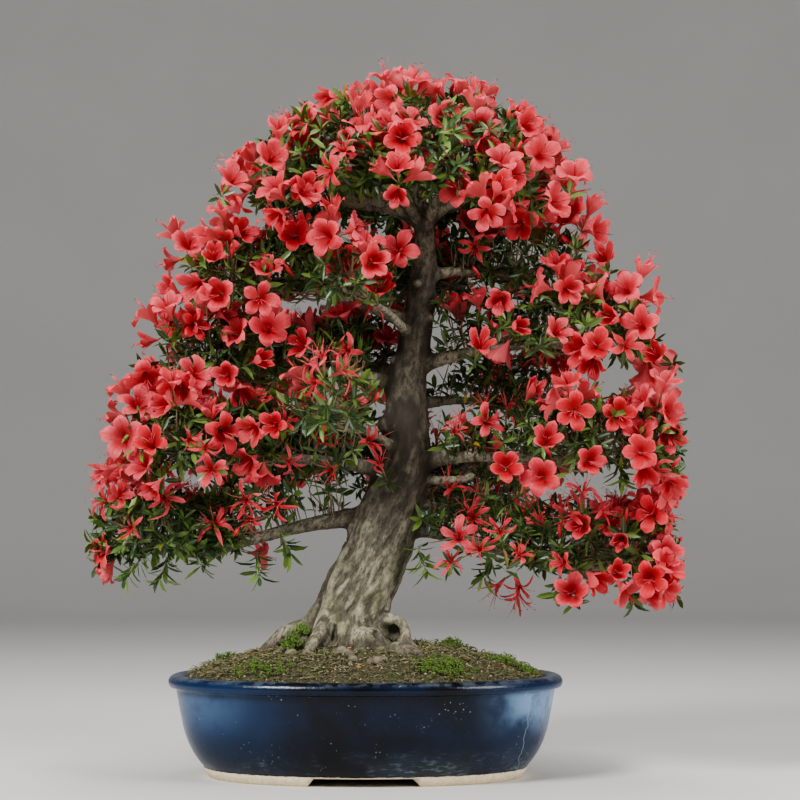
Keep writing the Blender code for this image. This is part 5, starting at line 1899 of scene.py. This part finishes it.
    def reach_out(self, joints: Array, tips: Array, sag: float) -> None:
        """Thin twigs from the nearest joints to the tips.

        Args:
            joints: where twigs may start.
            tips: where they end.
            sag: how far they hang on the way, as a share of their rise.
        """
        nearest = np.argmin(np.linalg.norm(tips[:, None] - joints[None], axis=2), axis=1)
        start = joints[nearest]
        rise = (tips - start) * [0.12, 0.12, -sag]
        routes = bend_between(start, tips, rise, 5, 0.06, int(self.draw.integers(1e6)))
        thin = np.linspace(1.0, 0.6, 5) * self.draw.uniform(0.75, 1.15, (len(tips), 1)) * MM
        self.grow_twigs(routes, thin, 0.2)

    def grow_inner(self, cloud: Cloud) -> None:
        """Leafy shoots and a few narrow-petalled blooms along the branch, between trunk and cloud.

        Args:
            cloud: the cloud that the branch carries.
        """
        draw = self.draw
        count, stray, tall = cloud.inner
        route = smooth_route(cloud.spine()[:3, :3], 40)
        start = route[(draw.uniform(0.34, 1.0, count) * 39).astype(int)]
        off = draw.normal(0, 0.6, count) * stray
        tips = start + cloud.aside * off[:, None] + cloud.heading * draw.normal(0, 0.010, (count, 1))
        tips[:, 2] += tall * draw.uniform(0.12, 1.0, count)
        tips = np.clip(tips, self.low + 8 * MM, self.high - 8 * MM)
        axes = tips - start
        axes[:, 2] += 0.01
        axes = unit(unit(axes) + draw.normal(0, 0.35, axes.shape))
        self.reach_out(start, tips, 0.0)
        self.whorls(tips, axes, np.clip(draw.normal(0.35, 0.25, count), 0, 1))
        high = tips[: max(2, count // 9)]
        for tip, axis in zip(high, axes):
            kind = self.pick_kind(cloud, 1.0)
            axis = unit(axis + [0, -0.3, 0.2])[None]
            self.add_blooms(tip[None] + axis * 0.030, axis, draw.uniform(0, 6, 1), kind, tip[None])

    def carriers(self, cloud: Cloud) -> Array:
        """Points on the limbs that carry a cloud."""
        near = []
        around = np.array([cloud.half[0] + 0.03, cloud.half[0] + 0.03, 0.08])
        for limb in self.limbs:
            flat = np.linalg.norm((limb[:, :3] - cloud.middle) / around, axis=1)
            near.append(limb[(flat < 1.15) & (limb[:, 3] < 0.011), :3])
        found = np.concatenate(near)
        return found if len(found) else cloud.spine()[2:, :3]

    def spurs(self, boughs: Array) -> None:
        """Bare crooked side twigs, pale where old leaves have dropped.

        Args:
            boughs: the routes that they leave.
        """
        each = 6
        draw = self.draw
        count = len(boughs) * each
        step = draw.integers(2, 8, count)
        start = boughs[np.repeat(np.arange(len(boughs)), each), step]
        ends = start + draw.normal(0, 1, (count, 3)) * [0.016, 0.016, 0.008] + [0, 0, 0.002]
        bend = draw.normal(0, 0.004, (count, 3))
        routes = bend_between(start, ends, bend, 6, 0.12, int(draw.integers(1e6)))
        self.grow_twigs(routes, np.linspace(1, 0.45, 6) * draw.uniform(0.5, 0.95, (count, 1)) * MM)

    def truss(self, cloud: Cloud, azimuth: float, elevation: float, kind: Kind) -> None:
        """A truss in the place of the solid one: a middle bloom and three that lean out round it.

        Args:
            cloud: the cloud that it grows from.
            azimuth: its direction from the cloud's middle, in degrees.
            elevation: in degrees.
            kind: the form of its blooms.
        """
        skin, normal = cloud.place(math.radians(azimuth), math.radians(elevation))
        normal = unit(normal + [0, 0, 0.30])
        base = skin + normal * cloud.lift
        turn = math.radians(azimuth * 3)
        right, over = axes_across(normal)
        angle = turn + 2 * math.pi * np.arange(3)[:, None] / 3
        tilt = math.radians(self.truss_tilt)
        ring = normal * math.cos(tilt) + (right * np.cos(angle) + over * np.sin(angle)) * math.sin(tilt)
        strap = kind is not FULL
        reach = np.array([0.0330 if strap else 0.0375, *[0.0250 if strap else 0.0280] * 3])
        axes = np.concatenate([normal, unit(ring)])
        down = cloud.sink(base + axes * reach[:, None], 0.016).max()
        base = base - np.array([0, 0, down])
        self.add_blooms(base + axes * reach[:, None], axes, turn + np.arange(4.0), kind, base)
        stem = bend_between(skin - normal * 0.012, base, np.zeros((1, 3)), 5, 0.03, 5)
        self.grow_twigs(stem, np.full((1, 5), 1.3 * MM), 0.5)

    def add_blooms(self, face: Array, axes: Array, spin: Array, kind: Kind, hub: Array) -> None:
        """Adds open blooms with their stalks, each kept inside the solid model's box.

        Args:
            face: the middles of their faces.
            axes: the directions that they look in.
            spin: the angle of the top lobe.
            kind: their form.
            hub: where their stalks start.
        """
        draw = self.draw
        count = len(face)
        axes = unit(axes + draw.normal(0, 0.06, axes.shape))
        flat = 0.0235 * np.sqrt(np.maximum(0, 1 - axes**2))
        room_up = flat + 0.009 * np.maximum(axes, 0)
        room_down = flat + 0.009 * np.maximum(-axes, 0)
        face = np.clip(face, self.low + room_down, self.high - room_up)
        low, high = kind.value
        full = high - (high - low) * draw.uniform(0, 1, count) ** (4 if kind is FULL else 1)
        size = draw.uniform(0.80, 1.03, count) * (0.94 if kind is STAR else 1.0)
        opened = np.clip(draw.normal(0.90, 0.16, count), 0.50, 1.05)
        tone = np.clip(draw.normal(0.46, 0.28, count), 0, 1)
        self.blooms.append(Blooms(face, axes, spin, full, size, opened, tone))
        foot = face - axes * (size * (18.4 + 1.4 * full) * MM)[:, None]
        start = np.broadcast_to(hub, foot.shape)
        routes = bend_between(start, foot + axes * 0.001, axes * 0.001, 5, 0.02, 7)
        routes = pull_in(routes, 0, self.low + 2 * MM, self.high - 2 * MM)
        girth = np.array([[1.1, 0.8, 0.8, 1.2, 1.2]]) * MM * np.ones((count, 1))
        stalks = sweep(routes, girth, 4)
        stalks.values["tone"] = np.repeat(draw.uniform(0, 1, count), 3 * 4 + 2)
        self.green.append(stalks)

    def grow_front(self) -> None:
        """The blooms that face the viewer, each over a whorl of leaves on a twig of its own."""
        if not self.front:
            return
        draw = self.draw
        middle = self.clouds[0].middle - np.array(self.clouds[0].centre)
        for x, y, z, kind in self.front:
            axis = unit(np.array([[draw.normal(0, 0.45), -1.0, draw.normal(0.15, 0.40)]]))
            face = middle + np.array([[x, y, z]])
            self.add_blooms(face, axis, draw.uniform(0, 6, 1), kind, face - axis * 0.034)
            self.whorls(face - axis * 0.036, axis, np.array([0.7]))

    def join_front(self) -> None:
        """Twigs from the nearest boughs to the blooms that face the viewer."""
        if not self.front:
            return
        middle = self.clouds[0].middle - np.array(self.clouds[0].centre)
        places = np.array([row[:3] for row in self.front], float)
        self.reach_out(np.concatenate(self.joints), middle + places + [0, 0.036, -0.004], 0.1)

    def flower(self, cloud: Cloud, joints: Array) -> None:
        """The cloud's trusses, then sprays wherever there is still room, most of them far out, and buds.

        Args:
            cloud: the cloud to flower.
            joints: where the twigs that carry them may start.
        """
        draw = self.draw
        for azimuth, elevation, kind in cloud.trusses:
            self.truss(cloud, azimuth, elevation, kind)
        taken = np.concatenate([blooms.face for blooms in self.blooms])
        azimuth, elevation = cloud.spread(cloud.singles * 6, -0.05 if cloud.name == "crown" else -0.36, 3)
        skin, normal = cloud.place(azimuth, elevation)
        lift = cloud.shoot * draw.uniform(0.45, 1.15, len(skin))
        if cloud.name != "crown":
            lift *= 1.08 - 0.50 * np.clip(normal[:, 2], 0, 1)
        axes = unit(normal + [0, 0, 0.20] + draw.normal(0, 0.34, normal.shape))
        base = skin + normal * lift[:, None]
        base[:, 2] -= cloud.sink(base + axes * 0.026, 0.016)
        face = base + axes * 0.026
        inner = self.inner_share(cloud, face)
        chosen = []
        for row, spot in enumerate(face):
            if len(chosen) == cloud.singles // 2:
                break
            apart = np.linalg.norm(taken - spot, axis=1)
            if inner[row] > draw.uniform(0.35, 1.2) or np.min(apart) < self.room:
                continue
            taken = np.vstack([taken, spot])
            chosen.append(row)
        for row in chosen:
            self.spray(base[row], axes[row], self.pick_kind(cloud, inner[row]))
        spare = np.arange(len(face) - max(3, cloud.singles // 3), len(face))
        spots = skin[spare] + normal[spare] * cloud.shoot
        self.buds.append((spots, unit(axes[spare] * 0.6 + [0, 0, 0.8])))
        self.reach_out(joints, np.concatenate([base[chosen], spots]), 0.1)

    def spray(self, base: Array, axis: Array, kind: Kind) -> None:
        """One to three blooms that crowd at the end of a shoot and lean apart.

        Args:
            base: the shoot's end.
            axis: its direction.
            kind: the form of the blooms.
        """
        draw = self.draw
        count = int(draw.integers(1, 4))
        right, over = axes_across(axis[None])
        turn = draw.uniform(0, 6.28) + 2 * math.pi * np.arange(count)[:, None] / count
        apart = draw.uniform(0.50, 0.78) if count > 1 else 0.0
        axes = unit(axis + (right * np.cos(turn) + over * np.sin(turn)) * apart)
        reach = draw.uniform(0.026, 0.033, (count, 1))
        self.add_blooms(base + axes * reach, axes, draw.uniform(0, 6, count), kind, base[None])

    def grow_wild(self, cloud: Cloud, joints: Array) -> None:
        """Long shoots that stick out of the cloud, with leaves along their last three centimetres.

        Args:
            cloud: the cloud that they grow from.
            joints: where they may start.
        """
        rows = np.array(cloud.wild)
        tips = cloud.middle - np.array(cloud.centre) + rows[:, :3]
        tips = np.clip(tips, self.low + 9 * MM, self.high - 9 * MM)
        axes = unit(rows[:, 3:])
        knees = tips - axes * 0.030
        self.reach_out(joints, knees, 0.05)
        routes = bend_between(knees, tips, axes * 0.001, 5, 0.05, 9)
        self.grow_twigs(routes, np.linspace(0.9, 0.5, 5) * np.ones((len(tips), 1)) * MM, 0.4)
        for back, vigour in ((0.0, 1.0), (0.010, 0.9), (0.022, 0.75)):
            self.whorls(tips - axes * back, axes, np.full(len(tips), vigour))

    def inner_share(self, cloud: Cloud, points: Array) -> Array:
        """How near the trunk each point is: 1 beside it, 0 at the cloud's far end."""
        out = np.sum((points - cloud.middle) * cloud.heading, axis=1) / cloud.half[0]
        return np.clip(0.5 - 0.5 * out, 0, 1)

    def pick_kind(self, cloud: Cloud, inner: float) -> Kind:
        """Full blooms high and far out, straps low and near the trunk, stars between."""
        odds = np.clip((0.54 - cloud.middle[2]) / 0.30, 0, 1) * (0.14 + 0.86 * inner)
        chance = self.draw.uniform()
        if chance < odds * 0.85:
            return STRAP
        return STAR if chance < odds * 0.85 + 0.10 else FULL

    def bud_surface(self) -> Surface:
        """Pointed buds: six-sided spindles with a slow twist, widest past the middle."""
        base = np.concatenate([spots for spots, _ in self.buds])
        axes = np.concatenate([ways for _, ways in self.buds])
        length = self.draw.uniform(0.013, 0.024, (len(base), 1))
        share = np.linspace(0, 1, 7)
        routes = base[:, None] + axes[:, None] * (share[None, :, None] * length[:, :, None])
        routes = pull_in(routes, 0, self.low + 3 * MM, self.high - 3 * MM)
        girth = np.sin(math.pi * share**1.25) ** 0.8 * 2.5 * MM
        buds = sweep(routes, np.broadcast_to(girth, (len(base), 7)), 6)
        along = buds.values.pop("along")
        level = np.zeros_like(along)
        buds.values["petal"] = np.stack([level, 0.35 + 0.5 * along, level], axis=-1)
        buds.values["tone"] = np.repeat(self.draw.uniform(0.2, 0.7, len(base)), 5 * 6 + 2)
        return buds

    def petal_surface(self, blooms: Blooms) -> Surface:
        """The petals, each bloom moved whole until it stands inside the box."""
        petals = self.corolla.petals(blooms, self.seed + 1)
        whole = petals.points.reshape(len(blooms), -1, 3)
        petals.points = slide_in(whole, self.low, self.high).reshape(-1, 3)
        return petals

    def build(self, looks: dict[str, Material]) -> int:
        """Grows the group and makes its pieces.

        Args:
            looks: the finished materials by name.

        Returns:
            How many blooms it has.
        """
        self.grow_front()
        for cloud in self.clouds:
            self.grow_cloud(cloud)
        self.join_front()
        foliage = [f"foliage_{cloud.name}" for cloud in self.clouds]
        flowers = [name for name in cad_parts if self.owns_truss(name)]
        blooms = Blooms.join(self.blooms)
        routes = self.corolla.threads(blooms, self.seed + 2)
        routes = pull_in(routes, 0, self.low + 1.5 * MM, self.high - 1.5 * MM)
        threads = sweep(routes, np.full(routes.shape[:2], 0.42 * MM), 3)
        threads.values["tone"] = np.repeat(blooms.tone, len(threads.points) // len(blooms))
        petals = Surface.join([self.petal_surface(blooms), self.bud_surface()])
        pieces = {
            "leaves": (Surface.join(self.leaves), "leaf", "leaf", foliage),
            "twigs": (Surface.join(self.twigs), "twig", "bark", []),
            "petals": (petals, "petal", "petal", flowers),
            "stamens": (threads, "filament", "petal", []),
            "anthers": (self.corolla.anthers(routes, self.seed + 3), "anther", "petal", []),
            "stalks": (Surface.join(self.green), "stalk", "leaf", []),
        }
        for label, (surface, look, slot, nodes) in pieces.items():
            put(surface.make(f"{label}_{self.name}", looks[look]), slot, *nodes)
        total = sum(surface.triangles() for surface, _, _, _ in pieces.values())
        log.info("%s: %d blooms, %d triangles", self.name, len(blooms), total)
        return len(blooms)

    def owns_truss(self, node: str) -> bool:
        """True if the solid is a truss on one of the group's clouds."""
        for cloud in self.clouds:
            rest = node.removeprefix(f"blooms_{cloud.name}")
            if rest != node and (rest == "" or rest[1:].isdigit()):
                return True
        return False


@dataclass
class Studio:
    """The floor, the soft lights and the camera."""

    pot: Pot
    camera_side: float = 0.039
    camera_back: float = 2.2
    camera_height: float = 0.265
    tilt: float = 4.2
    lens: float = 86.1
    floor_radius: float = 4.4
    bend_radius: float = 2.4
    wall_height: float = 4.6

    def lamp(self, name: str, place: Point, aim: Point, size: float, power: float) -> None:
        """A square soft light.

        Args:
            name: the light's name.
            place: where it hangs.
            aim: the point that it faces.
            size: its side.
            power: in watts.
        """
        light = bpy.data.lights.new(name, "AREA")
        light.size = size
        light.energy = power
        made = bpy.data.objects.new(name, light)
        bpy.context.scene.collection.objects.link(made)
        made.location = place
        made.rotation_euler = (Vector(aim) - Vector(place)).to_track_quat("-Z", "Y").to_euler()

    def floor(self) -> Thing:
        """A pale round floor whose edge bends up into a wall."""
        kit = Recipe("pale_floor")
        cloudy = kit.cloudy(1.2, 3)
        colour = kit.mix(cloudy, paint(196, 194, 190), paint(206, 204, 200))
        look = kit.finish(kit.shader({"Base Color": colour, "Roughness": 0.7}))
        bend = np.linspace(0, math.pi / 2, 18)
        out = self.floor_radius + self.bend_radius * np.sin(bend)
        up = self.bend_radius * (1 - np.cos(bend))
        out = np.concatenate([[0.8, 2.0, 3.2], out, out[-1:]])[:, None]
        up = np.concatenate([[0, 0, 0], up, [self.wall_height]])[:, None]
        angles = np.linspace(0, 2 * math.pi, 96, endpoint=False)[None]
        rings = np.stack(np.broadcast_arrays(out * np.cos(angles), out * np.sin(angles), up), axis=-1)
        points = np.concatenate([rings.reshape(-1, 3), np.zeros((1, 3))])
        faces = [grid_faces(len(out), 96, True)[:, ::-1], pole_faces(len(points) - 1, 0, 96, True)]
        return Surface(points, faces).make("floor", look)

    def build(self) -> None:
        """Sets up everything round the tree."""
        scene = bpy.context.scene
        scene.view_settings.view_transform = "AgX"
        scene.view_settings.look = "AgX - Medium High Contrast"
        self.floor()
        world = bpy.data.worlds.new("soft_room")
        scene.world = world
        world.use_nodes = True
        world.node_tree.nodes["Background"].inputs["Color"].default_value = paint(214, 216, 220)
        world.node_tree.nodes["Background"].inputs["Strength"].default_value = 0.45
        self.lamp("key", (-1.6, -1.9, 2.2), (0, 0, 0.46), 1.0, 122)
        self.lamp("fill", (2.2, -1.5, 1.4), (0, 0, 0.38), 1.2, 64)
        self.lamp("top", (0.2, 0.5, 2.6), (0, 0, 0.5), 1.6, 30)
        camera = bpy.data.cameras.new("camera")
        camera.lens = self.lens
        camera.sensor_width = 36.0
        made = bpy.data.objects.new("camera", camera)
        scene.collection.objects.link(made)
        side, back, height = self.camera_side, self.camera_back, self.camera_height
        made.location = Vector(self.pot.middle) + Vector((side, -back, height))
        made.rotation_euler = (math.radians(90 + self.tilt), 0, 0)
        scene.camera = made


WILD_SHOOTS = {
    "left_2": ((-0.246, -0.030, 0.444, -0.8, -0.2, -0.4), (-0.110, -0.050, 0.428, -0.3, -0.4, -0.8)),
    "left_4": (
        (-0.312, -0.010, 0.290, -1.0, -0.1, 0.35), (-0.310, -0.030, 0.262, -1.0, -0.2, 0.05),
        (-0.302, -0.020, 0.238, -0.9, -0.2, -0.45), (-0.268, -0.050, 0.222, -0.6, -0.3, -0.75),
        (-0.230, -0.044, 0.222, -0.3, -0.3, -0.9), (-0.184, -0.040, 0.236, -0.2, -0.3, -0.9),
        (-0.120, -0.030, 0.224, 0.1, -0.1, -1.0), (-0.086, -0.040, 0.252, 0.4, -0.3, -0.8),
    ),
    "right_4": ((0.352, -0.060, 0.340, 0.8, -0.2, -0.5), (0.286, -0.080, 0.330, 0.2, -0.4, -0.8)),
    "right_5": (
        (0.352, -0.030, 0.204, 0.8, -0.1, -0.6), (0.300, -0.050, 0.196, 0.2, -0.3, -0.9),
        (0.214, -0.050, 0.204, -0.2, -0.4, -0.9), (0.068, -0.034, 0.232, 0.3, -0.2, -0.9),
        (0.132, -0.040, 0.222, -0.4, -0.3, -0.8),
    ),
}


FRONT_BLOOMS: dict[str, Sequence[tuple[float, float, float, Kind]]] = {
    "crown": (
        (0.101, -0.135, 0.650, FULL), (0.148, -0.135, 0.646, FULL), (0.061, -0.135, 0.681, FULL),
        (-0.015, -0.135, 0.699, FULL), (0.133, -0.135, 0.695, FULL), (0.024, -0.135, 0.745, FULL),
        (-0.042, -0.135, 0.749, FULL), (-0.093, -0.135, 0.718, FULL), (-0.141, -0.135, 0.662, FULL),
        (-0.099, -0.135, 0.686, FULL), (0.212, -0.135, 0.636, FULL), (0.230, -0.135, 0.670, FULL),
        (0.196, -0.135, 0.688, FULL), (0.089, -0.135, 0.729, FULL), (0.179, -0.135, 0.721, FULL),
        (-0.063, -0.135, 0.648, FULL),
    ),
    "left": (
        (-0.021, -0.105, 0.571, FULL), (0.037, -0.100, 0.587, FULL), (0.017, -0.108, 0.546, FULL),
        (-0.108, -0.095, 0.571, FULL), (-0.158, -0.080, 0.597, FULL), (-0.079, -0.085, 0.606, FULL),
        (-0.221, -0.085, 0.530, FULL), (-0.190, -0.095, 0.544, FULL), (-0.163, -0.100, 0.537, FULL),
        (-0.188, -0.075, 0.505, FULL), (-0.147, -0.080, 0.498, FULL), (-0.105, -0.082, 0.502, FULL),
        (-0.114, -0.080, 0.466, FULL), (-0.244, -0.070, 0.443, FULL), (-0.074, -0.080, 0.484, FULL),
        (-0.022, -0.060, 0.478, STAR), (-0.124, -0.125, 0.383, FULL), (-0.268, -0.100, 0.379, FULL),
        (-0.245, -0.112, 0.350, FULL), (-0.233, -0.120, 0.374, FULL), (-0.100, -0.120, 0.391, FULL),
        (0.006, -0.075, 0.376, STRAP), (0.015, -0.070, 0.352, STRAP),
        (-0.172, -0.125, 0.365, STRAP), (-0.132, -0.085, 0.309, STRAP),
        (-0.189, -0.120, 0.374, STRAP), (-0.167, -0.120, 0.341, STAR),
        (-0.017, -0.070, 0.421, FULL), (-0.260, -0.080, 0.278, STRAP),
        (-0.270, -0.090, 0.315, STAR), (-0.100, -0.070, 0.304, STRAP),
        (-0.128, -0.070, 0.287, STRAP), (-0.039, -0.060, 0.343, STRAP),
        (-0.019, -0.060, 0.435, STRAP),
    ),
    "right": (
        (0.269, -0.055, 0.588, FULL), (0.150, -0.080, 0.531, FULL), (0.129, -0.085, 0.485, FULL),
        (0.171, -0.100, 0.501, FULL), (0.214, -0.110, 0.497, FULL), (0.321, -0.090, 0.472, FULL),
        (0.303, -0.100, 0.504, FULL), (0.270, -0.100, 0.512, FULL), (0.154, -0.125, 0.346, FULL),
        (0.198, -0.135, 0.376, FULL), (0.245, -0.138, 0.351, FULL), (0.300, -0.120, 0.385, FULL),
        (0.336, -0.110, 0.378, FULL), (0.191, -0.130, 0.335, FULL), (0.278, -0.125, 0.401, FULL),
        (0.237, -0.095, 0.282, FULL), (0.281, -0.095, 0.265, FULL), (0.335, -0.085, 0.252, FULL),
        (0.315, -0.090, 0.296, FULL), (0.228, -0.075, 0.209, FULL), (0.258, -0.085, 0.219, FULL),
        (0.323, -0.070, 0.209, FULL), (0.095, -0.060, 0.243, STRAP), (0.150, -0.080, 0.276, STRAP),
        (0.126, -0.075, 0.256, STRAP), (0.104, -0.065, 0.271, STAR), (0.316, -0.120, 0.341, STRAP),
        (0.172, -0.085, 0.252, STAR), (0.101, -0.060, 0.388, STRAP), (0.139, -0.070, 0.399, STAR),
        (0.123, -0.050, 0.597, STAR),
    ),
}


def crown_cloud() -> Cloud:
    """The domed crown."""
    places = ((190, 8), (212, 30), (228, 8), (252, 34), (268, 8), (300, 10), (306, 40), (330, 22))
    places += ((0, 12), (250, 68), (20, 62), (45, 20), (85, 16), (128, 22), (150, 52))
    trusses = [(azimuth, elevation, FULL) for azimuth, elevation in places]
    centre, half = (0.044, -0.006, 0.672), (0.136, 0.112, 0.054)
    return Cloud("crown", centre, half, 0.0, 0.632, 0.0, 720, 72, (0, 0.0, 0.0), trusses)


def side_clouds(rows: Sequence[tuple], trusses: dict[str, Sequence[tuple]]) -> list[Cloud]:
    """Clouds from a table.

    Args:
        rows: for each cloud its name, centre, half sizes, then drop, height and radius of its branch,
            then its counts of shoots and of blooms in sprays, and then its inner growth.
        trusses: for each cloud's name its trusses.

    Returns:
        The clouds.
    """
    return [
        Cloud(name, centre, half, *branch, *counts, inner, trusses[name], wild=WILD_SHOOTS.get(name, ()))
        for name, centre, half, branch, counts, inner in rows
    ]


def left_clouds() -> list[Cloud]:
    """The clouds on the left, from the top down."""
    small = (0.022, 0.020, 0.012)
    rows = (
        ("left_1", (-0.126, -0.026, 0.562), (0.054, 0.040, 0.016), (0.20, 0.512, 0.0055),
         (130, 28), (40, 0.030, 0.060)),
        ("left_2", (-0.152, -0.004, 0.471), (0.054, 0.038, 0.014), (0.15, 0.441, 0.0060),
         (130, 26), (46, 0.032, 0.060)),
        ("left_3", (-0.182, -0.044, 0.370), (0.064, 0.040, 0.015), (0.10, 0.342, 0.0070),
         (160, 34), (60, 0.034, 0.070)),
        ("left_4", (-0.216, -0.006, 0.270), (0.058, 0.037, 0.014), (0.05, 0.296, 0.0085),
         (190, 8), (66, 0.034, 0.078)),
        ("front_left", (-0.018, -0.096, 0.552), small, (0.10, 0.495, 0.0040),
         (44, 3), (0, 0.0, 0.0)),
        ("front_mid", (-0.036, -0.098, 0.404), small, (0.10, 0.362, 0.0040),
         (44, 3), (0, 0.0, 0.0)),
    )
    trusses = {
        "left_1": ((186, 16, FULL), (240, 34, FULL)),
        "left_2": ((188, 14, FULL), (244, 30, FULL)),
        "left_3": ((190, 20, FULL), (250, 30, FULL)),
        "left_4": ((206, 18, STRAP), (262, 30, STRAP)),
        "front_left": ((250, 40, FULL),),
        "front_mid": ((262, 24, STRAP),),
    }
    return side_clouds(rows, trusses)


def right_clouds() -> list[Cloud]:
    """The clouds on the right, from the top down."""
    rows = (
        ("right_1", (0.194, 0.020, 0.584), (0.046, 0.034, 0.012), (0.05, 0.571, 0.0050),
         (80, 12), (34, 0.034, 0.050)),
        ("right_2", (0.246, -0.030, 0.500), (0.060, 0.038, 0.015), (0.10, 0.463, 0.0060),
         (104, 30), (50, 0.034, 0.074)),
        ("right_3", (0.196, 0.108, 0.440), (0.042, 0.034, 0.013), (0.00, 0.420, 0.0050),
         (64, 6), (36, 0.040, 0.066)),
        ("right_4", (0.266, -0.056, 0.369), (0.070, 0.038, 0.015), (0.05, 0.355, 0.0070),
         (138, 38), (50, 0.034, 0.062)),
        ("right_5", (0.262, -0.012, 0.252), (0.078, 0.040, 0.016), (0.05, 0.286, 0.0080),
         (148, 48), (58, 0.034, 0.058)),
    )
    trusses = {
        "right_1": ((262, 24, FULL), (344, 22, FULL)),
        "right_2": ((244, 24, FULL), (326, 24, FULL)),
        "right_3": ((300, 20, FULL),),
        "right_4": ((238, 22, FULL), (316, 22, FULL)),
        "right_5": ((256, 24, STRAP), (322, 24, FULL)),
    }
    return side_clouds(rows, trusses)


def back_clouds() -> list[Cloud]:
    """The clouds at the back, from the top down."""
    rows = (
        ("back_1", (0.060, 0.142, 0.574), (0.046, 0.044, 0.015), (0.10, 0.548, 0.0050),
         (100, 16), (70, 0.075, 0.060)),
        ("back_2", (-0.070, 0.154, 0.482), (0.048, 0.042, 0.015), (0.10, 0.456, 0.0055),
         (100, 16), (70, 0.070, 0.060)),
        ("back_3", (-0.088, 0.150, 0.364), (0.052, 0.044, 0.015), (0.10, 0.345, 0.0065),
         (110, 16), (70, 0.070, 0.060)),
        ("back_4", (0.122, 0.160, 0.316), (0.052, 0.044, 0.015), (0.10, 0.308, 0.0065),
         (110, 16), (80, 0.075, 0.070)),
    )
    trusses = {
        "back_1": ((100, 30, FULL),),
        "back_2": ((135, 24, FULL),),
        "back_3": ((128, 24, STRAP),),
        "back_4": ((62, 24, FULL),),
    }
    return side_clouds(rows, trusses)


def piece_looks() -> dict[str, Material]:
    """The looks of leaves, petals, twigs, stalks and stamens, made in this order."""
    looks = {
        "leaf": Leaf(),
        "petal": Petal(),
        "twig": Strand("twig_bark", paint(166, 154, 124), paint(120, 108, 78), paint(84, 72, 52), 0.85),
        "stalk": Strand("stalk", paint(92, 104, 48), paint(150, 84, 60), paint(110, 120, 60), 0.6),
        "filament": Strand(
            "filament", paint(222, 84, 92), paint(240, 120, 126), paint(208, 66, 78), 0.5, 0.2
        ),
        "anther": Strand("anther", paint(116, 62, 60), paint(142, 86, 78), paint(96, 48, 56), 0.7),
    }
    return {name: look.material() for name, look in looks.items()}


def main() -> None:
    """Builds the tree and its pot, piece by piece, and notes the sizes."""
    logging.basicConfig(level=logging.INFO, format="%(name)s %(message)s")
    pot = Pot()
    pot.body()
    Ground(pot).build()
    for side in ("left", "right"):
        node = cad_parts[f"drainage_mesh_{side}"]
        node.data.materials.clear()
        node.data.materials.append(Plain().material())
    groups = {
        "crown": [crown_cloud()],
        "left": left_clouds(),
        "right": right_clouds(),
        "back": back_clouds(),
    }
    wood = Wood(pot)
    wood.clouds = [cloud for clouds in groups.values() for cloud in clouds]
    for cloud in wood.clouds:
        cloud.set_out(wood)
    limbs = wood.build()
    looks = piece_looks()
    total = 0
    for number, (name, clouds) in enumerate(groups.items()):
        total += Foliage(name, clouds, limbs, 100 + 10 * number, FRONT_BLOOMS.get(name, ())).build(looks)
    log.info("%d blooms in all", total)
    Studio(pot).build()


if __name__ == "__main__":
    main()
